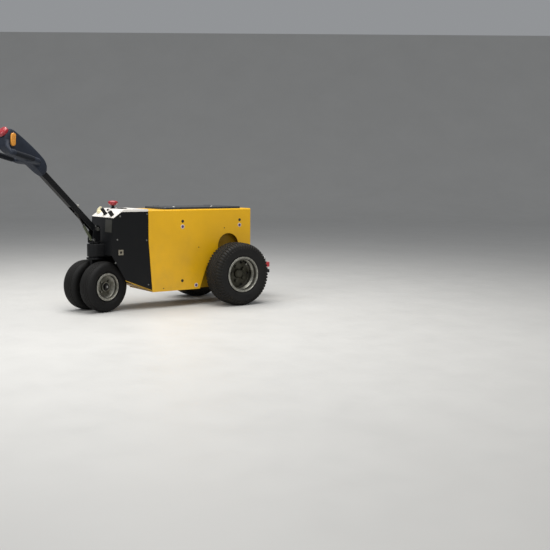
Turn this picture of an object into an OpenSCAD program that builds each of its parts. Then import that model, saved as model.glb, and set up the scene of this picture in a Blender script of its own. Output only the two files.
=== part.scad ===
// Walk-behind electric tow tug: yellow panelled body, folded nose, big drive wheels at the
// rear and steered twin wheels under a tiller.
// Lengths in mm, x forwards from the drive axle (the row's middle is subtracted at the end),
// y to the tug's left, z up from the floor.

/* [Drive wheels] */
// Outer diameter of a drive tyre
rear_tyre_d = 406; // [380:1:430]
// Width of a drive tyre
rear_tyre_w = 165; // [140:1:175]
// Middle of the tug to the middle of a drive wheel
rear_half_track = 265; // [255:1:290]
// Outer diameter of the drive rim's flange
rear_rim_d = 231; // [215:1:240]
// Width of the drive rim over its flanges
rear_rim_w = 141; // [120:1:146]
// How far the drive rim's disc lies behind the outer flange
rear_dish = 68; // [40:1:80]
// Depth of the drive tyres' grooves
tread_depth = 6.5; // [4:0.5:8]
// Shoulder slots on each side of a drive tyre
tread_slots = 15; // [9:1:18]

/* [Steered wheels] */
// Outer diameter of a steered tyre
front_tyre_d = 310; // [290:1:312]
// Width of a steered tyre
front_tyre_w = 110; // [95:1:112]
// Middle to middle of the twin wheels
twin_spacing = 156; // [152:1:162]
// Outer diameter of the steered rim's flange
front_rim_d = 172; // [160:1:180]
// Width of the steered rim over its flanges
front_rim_w = 76; // [64:1:84]
// Drive axle to kingpin
wheelbase = 877; // [870:1:900]
// Angle the tiller and twins are turned to the left at rest
steer_rest = 15; // [-30:1:30]
// Diameter of the steered wheels' axle
front_axle_d = 25; // [20:1:30]

/* [Body] */
// Width over the side covers
body_w = 312; // [300:1:320]
// Top of the side covers
body_top = 621; // [600:1:640]
// Underside of the body
body_bottom = 107; // [95:1:120]
// Rear face of the body behind the drive axle
body_rear = 176; // [165:1:190]
// Front edge of the side covers
cover_front = 587; // [570:1:600]
// Height below which the covers' front edge slants back
cover_bend_z = 429; // [400:1:450]
// Front edge of the covers at their foot
cover_foot_x = 563; // [545:1:570]
// Sheet thickness of covers and shells
skin_t = 3; // [2:0.5:4]
// Radius of the covers' bent top edge
cover_bend_r = 10; // [6:1:14]
// Thickness of the chassis plates
plate_t = 5; // [4:0.5:8]
// Width over the chassis' two inner walls
frame_w = 210; // [190:1:230]

/* [Wheel slots in the covers] */
// Radius of a slot's round top
slot_r = 80; // [70:1:90]
// Height of the round top's centre
slot_z = 380; // [370:1:390]
// Height where the slot begins to flare
slot_neck_z = 345; // [320:1:360]
// Height of the bend in the slot's front edge
slot_knee_z = 250; // [220:1:280]
// Slot's front edge at the bend
slot_knee_x = 167; // [150:1:180]
// Slot's front edge at the foot
slot_foot_x = 220; // [200:1:240]
// Slot's rear edge at the foot
slot_foot_rear = 140; // [120:1:150]

/* [Nose] */
// Top edge of the nose's black sides
nose_top = 612; // [600:1:618]
// Top of the white instrument plate, folded over that edge
plate_top = 626; // [620:1:632]
// Kingpin back to the front end of the instrument slope
nose_back = 55; // [52:1:62]
// Length of the slope on the black sides
slope_run = 54; // [48:1:66]
// Height of the slope's front end
nose_brow_z = 578; // [560:1:590]
// Lower front corner of the nose, ahead of the slope's front end
chin_out = 16; // [8:1:18]
// Lower front corner of the nose, height
nose_chin_z = 351; // [345:1:370]
// Kingpin back to the rear end of the cut for the twin wheels
cut_back = 133; // [130:1:150]
// Rear end of that cut, height
nose_cut_z = 191; // [180:1:210]
// Lowest corner of the nose's sides, height
nose_foot_z = 119; // [110:1:130]
// Kingpin back to the front end of the plate that closes the nose below
belly_back = 207; // [205:1:260]

/* [Instruments] */
// Up the slope to the key switch
key_up = 40; // [34:1:56]
// Key switch to the tug's left of the middle
key_y = -110; // [-125:1:-90]
// Diameter of the key switch
key_d = 30; // [24:1:34]
// Up the slope to the battery gauge
gauge_up = 36; // [32:1:56]
// Battery gauge to the tug's left of the middle
gauge_y = -40; // [-60:1:0]
// Diameter of the battery gauge
gauge_d = 50; // [40:1:56]
// Up the slope to the hour meter
meter_up = 36; // [26:1:56]
// Hour meter to the tug's left of the middle
meter_y = 72; // [40:1:110]
// Size of the hour meter across the tug
meter_w = 40; // [30:1:50]
// Size of the hour meter up the slope
meter_l = 34; // [28:1:44]
// Kingpin back to the stop button
stop_back = 145; // [140:1:180]
// Stop button to the tug's left of the middle
stop_y = -40; // [-90:1:60]
// Diameter of the stop button's head
stop_d = 62; // [40:1:70]
// Height of the stop button over the plate
stop_h = 50; // [40:1:60]
// Kingpin back to the front end of the charging socket's flap
flap_back = 153; // [150:1:180]
// Length of that flap
flap_l = 49; // [40:1:60]
// Width of that flap
flap_w = 70; // [50:1:80]
// Flap's middle to the tug's left of the middle
flap_y = 12; // [0:1:40]

/* [Plates and lamps] */
// Width of the blank plate on the nose's front
front_plate_w = 90; // [60:1:100]
// Height of that plate
front_plate_h = 78; // [50:1:90]
// Its middle to the tug's left of the middle
front_plate_y = 92; // [60:1:100]
// Its top below the slope's front end
front_plate_down = 10; // [6:1:30]
// Side of the small square eye plate on the nose's side
eye_side = 32; // [26:1:40]
// Kingpin back to the eye plate's middle
eye_back = 100; // [80:1:120]
// Height of the eye plate's middle
eye_z = 366; // [360:1:400]
// Width of a tail light
lamp_w = 30; // [24:1:40]
// Height of a tail light
lamp_h = 48; // [40:1:60]
// Depth of a tail light
lamp_t = 9; // [6:1:14]
// Underside of the tail lights
lamp_z = 474; // [440:1:500]
// Side covers' outer face to a tail light
lamp_in = 13; // [8:1:30]

/* [Battery lid] */
// Front edge of the lid
lid_front = 462; // [440:1:480]
// Rear face of the body to the rear edge of the lid
lid_back = 66; // [50:1:80]
// Height of the lid above the covers
lid_h = 13; // [11:1:18]
// Width of the lid
lid_w = 270; // [250:1:280]
// Diameter of the lid's hinge pin
lid_pin_d = 8; // [6:1:10]
// Travel of the lid, in degrees
lid_open = 95; // [80:1:110]

/* [Steering] */
// Underside of the steering head
head_bottom = 336; // [330:1:345]
// Top of the steering head
head_top = 414; // [400:1:418]
// Width of the steering head
head_w = 100; // [80:1:110]
// Kingpin to the head's front face
head_front = 66; // [50:1:75]
// Diameter of the kingpin
kingpin_d = 40; // [35:1:45]
// Thickness of the fork leg between the twins
leg_t = 24; // [20:1:28]
// Thickness of the crown over the twins
crown_t = 12; // [10:1:14]
// Clearance under the crown, over the tyres
crown_gap = 8; // [6:1:12]
// Width over the clevis' cheeks
clevis_w = 50; // [46:1:56]
// Thickness of a clevis cheek
cheek_t = 8; // [6:1:10]

/* [Tiller] */
// Height of the tiller's pivot
pivot_z = 505; // [490:1:520]
// Angle of the tiller above level at rest
tiller_angle = 42.5; // [30:0.5:60]
// Travel of the tiller above its rest
tiller_up = 40; // [20:1:42]
// Travel of the tiller below its rest
tiller_down = 34; // [20:1:36]
// Depth of the tiller's channel
arm_h = 36; // [32:1:40]
// Width of the tiller's channel
arm_w = 32; // [30:1:34]
// Wall of the tiller's channel
arm_t = 3; // [2.5:0.5:4]
// Pivot to the foot of the tiller's head
arm_len = 500; // [470:1:510]
// How far the channel's middle lies under the pivot
arm_drop = 7; // [0:1:10]
// Diameter of the tiller's pivot pin
pivot_d = 16; // [12:1:18]
// Foot of the tiller's head to the bend where its grips turn down
bend_out = 85; // [75:1:95]
// Angle between the tiller and the grips
bend = 28; // [20:1:32]
// Bend to the outer end of the grips
grip_end = 226; // [210:1:235]
// Diameter of the grips
grip_d = 28; // [26:1:32]
// Middle of the tug to the middle of a grip
grip_y = 100; // [90:1:110]
// Foot of the tiller's head to the console's end
console_l = 336; // [325:1:345]
// Width of the console between the grips
console_w = 76; // [64:1:84]
// Diameter of the belly button on the console's end
belly_d = 64; // [54:1:68]
// Length of that button
belly_l = 22; // [16:1:28]

/* [Gas spring] */
// Lower eye forwards of the kingpin
spring_foot_x = 26; // [22:1:30]
// Height of the lower eye
spring_foot_z = 441; // [438:1:445]
// Upper eye forwards of the kingpin, at rest
spring_eye_x = 140; // [132:1:148]
// Height of the upper eye, at rest
spring_eye_z = 612; // [604:1:618]
// Diameter of the gas spring's tube
spring_d = 16; // [14:1:18]
// Diameter of its rod
spring_rod_d = 8; // [6:1:10]
// Length of its tube
spring_tube = 95; // [85:1:100]

/* [Drive and battery] */
// Diameter of the axle's tubes
axle_tube_d = 60; // [50:1:70]
// Middle of the tug to the end of an axle tube
axle_half = 180; // [172:1:186]
// Diameter of the gearbox drum
gearbox_d = 150; // [120:1:170]
// Width of the gearbox drum
gearbox_w = 124; // [100:1:140]
// Diameter of the drive motor
motor_d = 116; // [100:1:130]
// Length of the drive motor
motor_l = 180; // [150:1:180]
// Height of the motor's middle over the axle
motor_up = 12; // [0:1:30]
// Length of the battery
battery_l = 270; // [230:1:276]
// Height of the battery
battery_h = 260; // [220:1:400]
// Room round the battery
battery_gap = 8; // [5:1:15]

/* [Tow coupling] */
// Middle height of the coupling's jaw
jaw_z = 194.5; // [185:0.5:210]
// Opening between the jaw's plates
jaw_gap = 21; // [18:1:30]
// Thickness of the jaw's lower plate
jaw_low_t = 20; // [14:1:24]
// Thickness of the jaw's upper block
jaw_top_t = 30; // [20:1:34]
// Rear end of the jaw behind the drive axle
jaw_rear = 440; // [420:1:460]
// Width of the jaw
jaw_w = 80; // [70:1:95]
// Diameter of the tow pin
tow_pin_d = 25; // [20:1:28]
// Length of the jaw, from its rear end to the drawbar
jaw_l = 85; // [80:1:95]
// Side of the square drawbar
drawbar = 50; // [40:1:60]
// Width of the bracket plate on the rear panel
bracket_w = 160; // [140:1:180]
// Height of the bracket plate
bracket_h = 210; // [200:1:240]
// Underside of the bracket plate
bracket_z = 120; // [112:1:125]
// Thickness of the bracket plate
bracket_t = 10; // [8:1:12]
// Spare holes in the bracket plate, apart across the tug
pattern_y = 120; // [100:1:125]
// Spare holes, apart in height
pattern_z = 60; // [50:1:66]
// Height of the upper spare holes
pattern_top = 310; // [300:1:314]
// Radius of a spare hole, for an M12 bolt
spare_hole_r = 6.5; // [6.5:0.5:8]

/* [Hidden] */
$fn = 96;
// running clearance between a pin and its bore, on the radius
fit_r = 0.3;
// gap at rest between pieces of different bodies that seat on each other
seat = 0.3;
cover_y = body_w / 2;
skin_y = cover_y - skin_t;
frame_y = frame_w / 2;
bend_y = cover_y - cover_bend_r;
// where the covers' top flanges end
flange_y = cover_y - 28;
// lid's ends to the plates before and behind it
lid_gap = 6;
rear_x = -body_rear;
front_r = front_tyre_d / 2;
rear_r = rear_tyre_d / 2;
crown_z = front_tyre_d + crown_gap;
nose_front_x = wheelbase - nose_back;
nose_ridge_x = nose_front_x - slope_run;
nose_chin_x = nose_front_x + chin_out;
nose_cut_x = wheelbase - cut_back;
slope_foot_z = nose_brow_z - skin_t;
slope_angle = atan2(nose_top - slope_foot_z, slope_run);
// the white plate's fold, on its underside
plate_fold_x = nose_front_x - (plate_top - nose_brow_z) / tan(slope_angle);
// height and thickness of a rim's flanges
flange_h = 10;
rim_t = 4;
lip_r = 3.5;
// wheel nuts of a drive rim and the hand holes between them
studs = 5;
stud_r = 48;
hand_r = 10;
clevis_z = head_top + 5;
clevis_base_t = 9;
spring_dx = spring_eye_x - spring_foot_x;
spring_dz = spring_eye_z - spring_foot_z;
spring_len = sqrt(spring_dx * spring_dx + spring_dz * spring_dz);
spring_lean = atan2(spring_dz, spring_dx);
jaw_low_top = jaw_z - jaw_gap / 2;
jaw_top_low = jaw_z + jaw_gap / 2;
bend_x = arm_len + bend_out;
console_end = arm_len + console_l;
// a grip's end cap, whose far rim on the right is the tug's front end at rest
cap_r = grip_d / 2 + 3;
cap_l = 26;
cap_edge = 3;
grip_slant = tiller_angle - bend;
tiller_tip = wheelbase
    + cos(steer_rest) * (bend_x * cos(tiller_angle) + grip_end * cos(grip_slant))
    + sin(steer_rest) * grip_y
    + (cap_r - cap_edge) * norm([sin(grip_slant) * cos(steer_rest), sin(steer_rest)]);
mid_x = (tiller_tip - jaw_rear) / 2;

// Frames
module in_row() { translate([-mid_x, 0, 0]) children(); }
// x forwards from the kingpin along the tiller, y to its left
module steered() { in_row() translate([wheelbase, 0, 0]) rotate([0, 0, steer_rest]) children(); }
// x up the tiller from its pivot, z out of its back
module tilted() { steered() translate([0, 0, pivot_z]) rotate([0, -tiller_angle, 0]) children(); }
// z up the gas spring from its lower eye
module sprung() {
    steered() translate([spring_foot_x, 0, spring_foot_z])
        rotate([0, 90 - spring_lean, 0]) children();
}
// an outline in x and z, pulled along y
module side_sheet(y0, y1) {
    translate([0, y1, 0]) rotate([90, 0, 0]) linear_extrude(y1 - y0) children();
}
// a shape along z, laid along y
module along_y(y0 = 0) { translate([0, y0, 0]) rotate([-90, 0, 0]) children(); }
module along_x(x0 = 0) { translate([x0, 0, 0]) rotate([0, 90, 0]) children(); }

// Chassis and panels
module cover_outline() {
    polygon([[rear_x, body_bottom], [cover_foot_x, body_bottom], [cover_front, cover_bend_z],
        [cover_front, body_top], [rear_x, body_top]]);
}
module slot_outline() {
    translate([0, slot_z]) circle(r = slot_r);
    polygon([[-slot_r, slot_z], [slot_r, slot_z], [slot_r, slot_neck_z],
        [slot_knee_x, slot_knee_z], [slot_foot_x, body_bottom - 1],
        [-slot_foot_rear, body_bottom - 1], [-slot_r, slot_neck_z]]);
}
module chassis_frame() {
    floor_front = cover_foot_x - 4;
    rise = (nose_cut_z - nose_foot_z) / (nose_cut_x - cover_foot_x + 2);
    belly_front = wheelbase - belly_back;
    color("goldenrod") in_row() difference() {
        union() {
            // floor, narrow beside the drive wheels
            translate([rear_x + skin_t, -frame_y, body_bottom])
                cube([floor_front - rear_x - skin_t, frame_w, plate_t]);
            translate([slot_foot_x - 6, -skin_y, body_bottom])
                cube([floor_front - slot_foot_x + 6, 2 * skin_y, plate_t]);
            // inner walls with a flange that carries each cover
            for (side = [-1, 1]) {
                translate([rear_x + skin_t, side > 0 ? frame_y - plate_t : -frame_y, body_bottom])
                    cube([floor_front - rear_x - skin_t, plate_t, body_top - skin_t - body_bottom]);
                translate([rear_x + skin_t, side > 0 ? frame_y - plate_t : -bend_y,
                    body_top - skin_t - plate_t])
                    cube([floor_front - rear_x - skin_t, bend_y - frame_y + plate_t, plate_t]);
            }
            // front bulkhead
            translate([floor_front - plate_t, -frame_y, body_bottom])
                cube([plate_t, frame_w, body_top - skin_t - body_bottom]);
            // belly plate, under the nose's lower edge
            side_sheet(-skin_y, skin_y) polygon([for (p = [[floor_front - 2, -plate_t - 0.3],
                [belly_front, -plate_t - 0.3], [belly_front, 0], [floor_front - 2, 0]])
                [p[0], nose_foot_z + (p[0] - cover_foot_x + 2) * rise + p[1]]]);
            translate([floor_front - plate_t, -skin_y, body_bottom])
                cube([plate_t, 2 * skin_y, nose_foot_z - body_bottom - 2]);
            // rear cross member
            translate([rear_x + skin_t, -frame_y, body_bottom])
                cube([plate_t, frame_w, body_top - skin_t - body_bottom]);
        }
        // drive axle
        translate([0, -frame_y - 1, rear_r]) along_y()
            cylinder(h = frame_w + 2, d = axle_tube_d + 2 * fit_r);
    }
}
module side_cover() {
    difference() {
        union() {
            side_sheet(skin_y, cover_y) difference() {
                polygon([[rear_x, body_bottom], [cover_foot_x, body_bottom],
                    [cover_front, cover_bend_z], [cover_front, body_top - cover_bend_r],
                    [rear_x, body_top - cover_bend_r]]);
                slot_outline();
            }
            // bent top edge and its flange
            translate([rear_x, cover_y - cover_bend_r, body_top - cover_bend_r])
                rotate([90, 0, 90]) linear_extrude(cover_front - rear_x) difference() {
                    intersection() {
                        circle(r = cover_bend_r);
                        square(cover_bend_r);
                    }
                    circle(r = cover_bend_r - skin_t);
                }
            translate([rear_x, flange_y, body_top - skin_t])
                cube([cover_front - rear_x, bend_y - flange_y, skin_t]);
        }
    }
}
module side_cover_left() { color("goldenrod") in_row() side_cover(); }
module side_cover_right() { color("goldenrod") in_row() mirror([0, 1, 0]) side_cover(); }
module rear_panel() {
    color("goldenrod") in_row() {
        translate([rear_x, 0, 0]) rotate([90, 0, 90]) linear_extrude(skin_t)
            polygon([[-skin_y, body_bottom], [skin_y, body_bottom], [skin_y, body_top - cover_bend_r],
                [bend_y, body_top - skin_t], [-bend_y, body_top - skin_t],
                [-skin_y, body_top - cover_bend_r]]);
        // folded forwards to the lid
        translate([rear_x, -flange_y, body_top - skin_t])
            cube([lid_back - lid_gap, 2 * flange_y, skin_t]);
    }
}
module top_plate() {
    color("goldenrod") in_row() translate([lid_front + lid_gap, -flange_y, body_top - skin_t])
        cube([cover_front - lid_front - lid_gap, 2 * flange_y, skin_t]);
}
module nose_shell() {
    hem = 22;
    lap = cover_front - 24;
    color("#1c1c1f") in_row() difference() {
        side_sheet(-skin_y, skin_y) polygon([[cover_foot_x - 2, nose_foot_z],
            [nose_cut_x, nose_cut_z], [nose_chin_x, nose_chin_z], [nose_front_x, slope_foot_z],
            [nose_ridge_x, nose_top], [cover_front + seat, nose_top],
            [cover_front + seat, nose_top - cover_bend_r], [lap, nose_top - cover_bend_r],
            [lap, cover_bend_z]]);
        // inside, open below and behind
        side_sheet(-skin_y + skin_t, skin_y - skin_t) polygon([[0, 0], [nose_chin_x - skin_t, 0],
            [nose_chin_x - skin_t, nose_chin_z], [nose_front_x - skin_t, slope_foot_z - skin_t],
            [nose_ridge_x - 1, nose_top - skin_t], [0, nose_top - skin_t]]);
        // under the white plate only a hem is left of the top
        translate([cover_front + hem, -skin_y + hem, nose_top - 2 * skin_t])
            cube([nose_ridge_x - cover_front - 2 * hem, 2 * (skin_y - hem), 3 * skin_t]);
        // opening for the steering head
        translate([nose_front_x - 30, -head_w / 2 - 1, nose_chin_z - 30])
            cube([60, head_w + 2, head_top + 1 - nose_chin_z + 30]);
    }
}
// flat on the instrument slope, x down the slope from a point so far up it, z out of it
module on_slope(up, y) {
    in_row() translate([nose_front_x + skin_t * sin(slope_angle), y,
        slope_foot_z + skin_t * cos(slope_angle)])
        rotate([0, slope_angle, 0]) translate([-up, 0, 0]) children();
}
module instrument_plate() {
    rear = cover_front + seat;
    under = plate_top - skin_t;
    color("#f2efe8") in_row() {
        side_sheet(-skin_y, skin_y) polygon([[nose_front_x, slope_foot_z],
            [nose_front_x + skin_t * sin(slope_angle), slope_foot_z + skin_t * cos(slope_angle)],
            [plate_fold_x + skin_t * tan(slope_angle / 2), plate_top], [rear, plate_top],
            [rear, under], [plate_fold_x, under]]);
        // skirts down to the black sides' top edge
        for (y = [-skin_y, skin_y - skin_t])
            side_sheet(y, y + skin_t) polygon([[nose_ridge_x, nose_top], [plate_fold_x, under + 0.5],
                [rear, under + 0.5], [rear, nose_top]]);
        translate([rear, -skin_y, nose_top]) cube([skin_t, 2 * skin_y, under - nose_top + 0.5]);
    }
}
module key_switch() {
    base = 12;
    collar = 5;
    color("#e8dca8") on_slope(key_up, key_y) {
        cylinder(h = base, d = key_d);
        translate([0, 0, base]) cylinder(h = collar, d = key_d - 8);
        // key, its bow turned up the slope
        translate([-5, -1.5, base + collar]) cube([10, 3, 8]);
        translate([-14, -1.5, base + collar + 9]) along_y() cylinder(h = 3, r = 11);
    }
}
module battery_gauge() {
    bezel = 6;
    color("#1c1c1f") on_slope(gauge_up, gauge_y) {
        cylinder(h = bezel, d = gauge_d);
        translate([0, 0, bezel]) cylinder(h = 3, d = gauge_d - 8);
    }
}
module hour_meter() {
    color("#1c1c1f") on_slope(meter_up, meter_y)
        translate([-meter_l / 2, -meter_w / 2, 0]) {
            cube([meter_l, meter_w, 7]);
            translate([3, 3, 7]) cube([meter_l - 6, meter_w - 6, 3]);
        }
}
module stop_button() {
    stem = stop_h * 0.4;
    color("#c8202c") in_row() translate([wheelbase - stop_back, stop_y, plate_top])
        rotate_extrude() polygon([[0, 0], [15, 0], [15, 5], [9, 6], [9, stem], [stop_d * 0.32, stem],
            [stop_d / 2 - 1, stop_h * 0.66], [stop_d / 2, stop_h * 0.72], [stop_d / 2, stop_h * 0.8],
            [stop_d / 2 - 2, stop_h * 0.88], [stop_d * 0.34, stop_h * 0.97], [stop_d * 0.16, stop_h],
            [0, stop_h]]);
}
module charge_flap() {
    color("#1c1c1f") in_row()
        translate([wheelbase - flap_back - flap_l, flap_y - flap_w / 2, plate_top]) {
            cube([flap_l, flap_w, 3]);
            translate([5, 5, 3]) cube([flap_l - 10, flap_w - 10, 2]);
        }
}
module front_plate() {
    lean = atan2(chin_out, slope_foot_z - nose_chin_z);
    color("#8a8c90") in_row() translate([nose_front_x, front_plate_y, slope_foot_z])
        rotate([0, -lean, 0]) translate([0, -front_plate_w / 2, -front_plate_down - front_plate_h])
            cube([2, front_plate_w, front_plate_h]);
}
module eye_plate() {
    color("#9a9c9e") in_row()
        translate([wheelbase - eye_back - eye_side / 2, skin_y, eye_z - eye_side / 2]) difference() {
            cube([eye_side, 4, eye_side]);
            translate([eye_side / 2, -1, eye_side / 2]) along_y() cylinder(h = 6, r = eye_side / 4);
        }
}
module battery_block() {
    inner = frame_y - plate_t - battery_gap;
    front = cover_foot_x - 4 - plate_t - battery_gap;
    color("#3a3c40") in_row() translate([front - battery_l, -inner, body_bottom + plate_t])
        cube([battery_l, 2 * inner, battery_h]);
}
module drive_axle() {
    color("#3c4046") in_row() translate([0, 0, rear_r]) {
        along_y(-axle_half) cylinder(h = 2 * axle_half, d = axle_tube_d);
        along_y(-gearbox_w / 2) cylinder(h = gearbox_w, d = gearbox_d);
    }
}
module drive_motor() {
    color("#2a2c30") in_row() translate([gearbox_d / 2 + seat, 0, rear_r + motor_up])
        along_x() cylinder(h = motor_l, d = motor_d);
}
module steering_head() {
    corner_r = 12;
    head_h = head_top - head_bottom;
    front = wheelbase + head_front;
    rear = cover_foot_x - 4;
    color("#1c1c1f") in_row() difference() {
        union() {
            translate([rear, -head_w / 2, head_bottom]) cube([front - corner_r - rear, head_w, head_h]);
            translate([front - 2 * corner_r, -head_w / 2 + corner_r, head_bottom])
                cube([2 * corner_r, head_w - 2 * corner_r, head_h]);
            for (side = [-1, 1])
                translate([front - corner_r, side * (head_w / 2 - corner_r), head_bottom])
                    cylinder(h = head_h, r = corner_r);
        }
        translate([wheelbase, 0, head_bottom - 1])
            cylinder(h = head_top - head_bottom + 2, d = kingpin_d + 2 * fit_r);
    }
}
module tow_bracket() {
    bar_end = -jaw_rear + jaw_l;
    gusset_l = 60;
    gusset_half = 6;
    color("#1c1c1f") in_row() difference() {
        union() {
            translate([rear_x - bracket_t, -bracket_w / 2, bracket_z])
                cube([bracket_t, bracket_w, bracket_h]);
            translate([bar_end, -drawbar / 2, jaw_z - drawbar / 2])
                cube([rear_x - bracket_t - bar_end, drawbar, drawbar]);
            // gusset under the bar
            side_sheet(-gusset_half, gusset_half) polygon([[rear_x - bracket_t, jaw_z - drawbar / 2],
                [rear_x - bracket_t, bracket_z + 6],
                [rear_x - bracket_t - gusset_l, jaw_z - drawbar / 2]]);
        }
        // free holes above the bar
        for (y = [-pattern_y / 2, pattern_y / 2], z = [pattern_top - pattern_z, pattern_top])
            translate([rear_x - bracket_t - 1, y, z]) along_x()
                cylinder(h = bracket_t + 2, r = spare_hole_r);
    }
}
// plan of a jaw plate round the tow pin, from the pin's middle to so far forwards
module jaw_plan(forward) {
    difference() {
        union() {
            translate([0, -jaw_w / 2]) square([forward, jaw_w]);
            circle(r = jaw_w / 2);
        }
        circle(d = tow_pin_d + 2 * fit_r);
    }
}
module at_pin() { in_row() translate([-jaw_rear + jaw_w / 2, 0, 0]) children(); }
module tow_jaw() {
    web = 13;
    reach = jaw_l - jaw_w / 2;
    color("#232327") at_pin() {
        translate([0, 0, jaw_low_top - jaw_low_t]) linear_extrude(jaw_low_t) jaw_plan(reach);
        translate([reach - web, -jaw_w / 2, jaw_low_top - 1]) cube([web, jaw_w, jaw_gap + 1]);
    }
}
module tow_jaw_top() {
    color("#c8202c") at_pin() translate([0, 0, jaw_top_low]) linear_extrude(jaw_top_t)
        jaw_plan(jaw_l - jaw_w / 2);
}
module tow_pin() {
    color("silver") at_pin() {
        translate([0, 0, jaw_low_top - jaw_low_t])
            cylinder(h = jaw_low_t + jaw_gap + jaw_top_t, d = tow_pin_d);
        translate([0, 0, jaw_top_low + jaw_top_t]) cylinder(h = 8, d = tow_pin_d + 12);
    }
}
module tail_light(side) {
    in_row() translate([rear_x - lamp_t, side * (cover_y - lamp_in - lamp_w / 2) - lamp_w / 2, lamp_z])
        cube([lamp_t, lamp_w, lamp_h]);
}
module tail_light_left() { color("#8c1a1a") tail_light(1); }
module tail_light_right() { color("#8c1a1a") tail_light(-1); }

// Battery lid
lid_rear = rear_x + lid_back;
lid_top = body_top + seat + lid_h;
hinge_y = -lid_w / 2 - 10;
hinge_z = body_top + 8;
hinge_xs = [lid_rear + 90, lid_front - 90];
knuckle_r = 7;
ear_w = 26;
lug_w = 8;
lug_gap = 1;
module lid_hinge() {
    color("#4a4c50") in_row() {
        translate([hinge_xs[0] - 30, hinge_y, hinge_z]) along_x()
            cylinder(h = hinge_xs[1] - hinge_xs[0] + 60, d = lid_pin_d);
        for (x = hinge_xs, dx = [-ear_w / 2 - lug_gap - lug_w, ear_w / 2 + lug_gap]) {
            translate([x + dx, hinge_y, hinge_z]) along_x() cylinder(h = lug_w, r = knuckle_r);
            translate([x + dx, hinge_y - knuckle_r, body_top]) cube([lug_w, 12, hinge_z - body_top]);
        }
    }
}
module battery_lid() {
    color("#26282c") in_row() difference() {
        union() {
            translate([lid_rear, -lid_w / 2, body_top + seat])
                cube([lid_front - lid_rear, lid_w, lid_h]);
            for (x = hinge_xs) translate([x - ear_w / 2, hinge_y, hinge_z]) {
                along_x() cylinder(h = ear_w, r = knuckle_r);
                translate([0, 0, -knuckle_r + 2])
                    cube([ear_w, 12, lid_top - 1 - hinge_z + knuckle_r - 2]);
            }
        }
        translate([lid_rear + skin_t, -lid_w / 2 + skin_t, body_top + seat - 1])
            cube([lid_front - lid_rear - 2 * skin_t, lid_w - 2 * skin_t, lid_h + 1 - skin_t]);
        for (x = hinge_xs) translate([x - ear_w / 2 - 1, hinge_y, hinge_z]) along_x()
            cylinder(h = ear_w + 2, d = lid_pin_d + 2 * fit_r);
    }
}

// Steering
module steering_fork() {
    color("#1c1c1f") steered() difference() {
        union() {
            // leg between the twins
            side_sheet(-leg_t / 2, leg_t / 2) polygon([[-34, crown_z], [34, crown_z],
                [24, front_r - 24], [-24, front_r - 24]]);
            translate([0, -leg_t / 2, front_r]) along_y() cylinder(h = leg_t, r = 34);
            translate([-45, -50, crown_z]) cube([90, 100, crown_t]);
            translate([0, 0, crown_z + crown_t]) cylinder(h = head_bottom - seat - crown_z - crown_t, r = 36);
            translate([0, 0, crown_z]) cylinder(h = clevis_z - crown_z, d = kingpin_d);
        }
        translate([0, -leg_t / 2 - 1, front_r]) along_y()
            cylinder(h = leg_t + 2, d = front_axle_d + 2 * fit_r);
    }
}
module tiller_clevis() {
    color("#1c1c1f") steered() difference() {
        union() {
            translate([0, 0, clevis_z]) cylinder(h = clevis_base_t, r = 38);
            for (side = [-1, 1]) side_sheet(side > 0 ? clevis_w / 2 - cheek_t : -clevis_w / 2,
                side > 0 ? clevis_w / 2 : -clevis_w / 2 + cheek_t) union() {
                    translate([0, pivot_z]) circle(r = 24);
                    polygon([[-24, pivot_z], [24, pivot_z], [34, spring_foot_z], [34, clevis_z + 2],
                        [-26, clevis_z + 2]]);
                }
            translate([0, 0, head_top + seat]) cylinder(h = clevis_z - head_top - seat, r = 30);
        }
        translate([0, -clevis_w, pivot_z]) along_y() cylinder(h = 2 * clevis_w, d = pivot_d + 2 * fit_r);
        translate([spring_foot_x, -clevis_w, spring_foot_z]) along_y()
            cylinder(h = 2 * clevis_w, r = 5 + fit_r);
        translate([0, 0, head_top]) cylinder(h = clevis_z - head_top, d = kingpin_d + 2 * fit_r);
    }
}
module spring_pin() {
    color("silver") steered() translate([spring_foot_x, 0, spring_foot_z]) {
        along_y(-clevis_w / 2 - 4) cylinder(h = clevis_w + 8, r = 5);
        for (y = [-clevis_w / 2 - 5, clevis_w / 2]) along_y(y) cylinder(h = 5, r = 8);
    }
}
module front_axle() {
    half = twin_spacing / 2 + front_rim_w / 2 - 16;
    color("silver") steered() translate([0, 0, front_r]) {
        along_y(-half - 8) cylinder(h = 2 * half + 16, d = front_axle_d);
        for (side = [-1, 1]) along_y(side > 0 ? half + 1 : -half - 12)
            cylinder(h = 11, d = front_axle_d + 10, $fn = 6);
    }
}
module tiller_pin() {
    color("silver") steered() {
        translate([0, 0, pivot_z]) {
            along_y(-clevis_w / 2 - 8) cylinder(h = clevis_w + 16, d = pivot_d);
            for (y = [-clevis_w / 2 - 8, clevis_w / 2]) along_y(y) cylinder(h = 8, r = 13, $fn = 6);
        }
    }
}

// Wheels
// section in radius and width: bead between the rim's flanges, sidewall, round shoulders
module tyre_section(r, w, flange_r, bead_r, bead_w, shoulder) {
    side_r = r - shoulder * 1.6;
    polygon([[bead_r, -bead_w / 2], [flange_r + 1, -bead_w / 2], [side_r, -w / 2],
        [r - shoulder, -w / 2], [r, -w / 2 + shoulder], [r, w / 2 - shoulder],
        [r - shoulder, w / 2], [side_r, w / 2], [flange_r + 1, bead_w / 2], [bead_r, bead_w / 2]]);
    for (side = [-1, 1]) translate([r - shoulder, side * (w / 2 - shoulder)]) circle(r = shoulder);
}
// grooves: how far from the middle each pair runs round the tyre
module tyre(r, w, rim_d, rim_w, shoulder, grooves, groove_w, depth) {
    rotate([-90, 0, 0]) rotate_extrude($fn = 96) difference() {
        tyre_section(r, w, rim_d / 2, rim_d / 2 - flange_h, rim_w - 2 * rim_t - 0.4, shoulder);
        for (g = grooves, side = [-1, 1])
            translate([r - depth, side * g - groove_w / 2]) square([depth + 1, groove_w]);
    }
}
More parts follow.
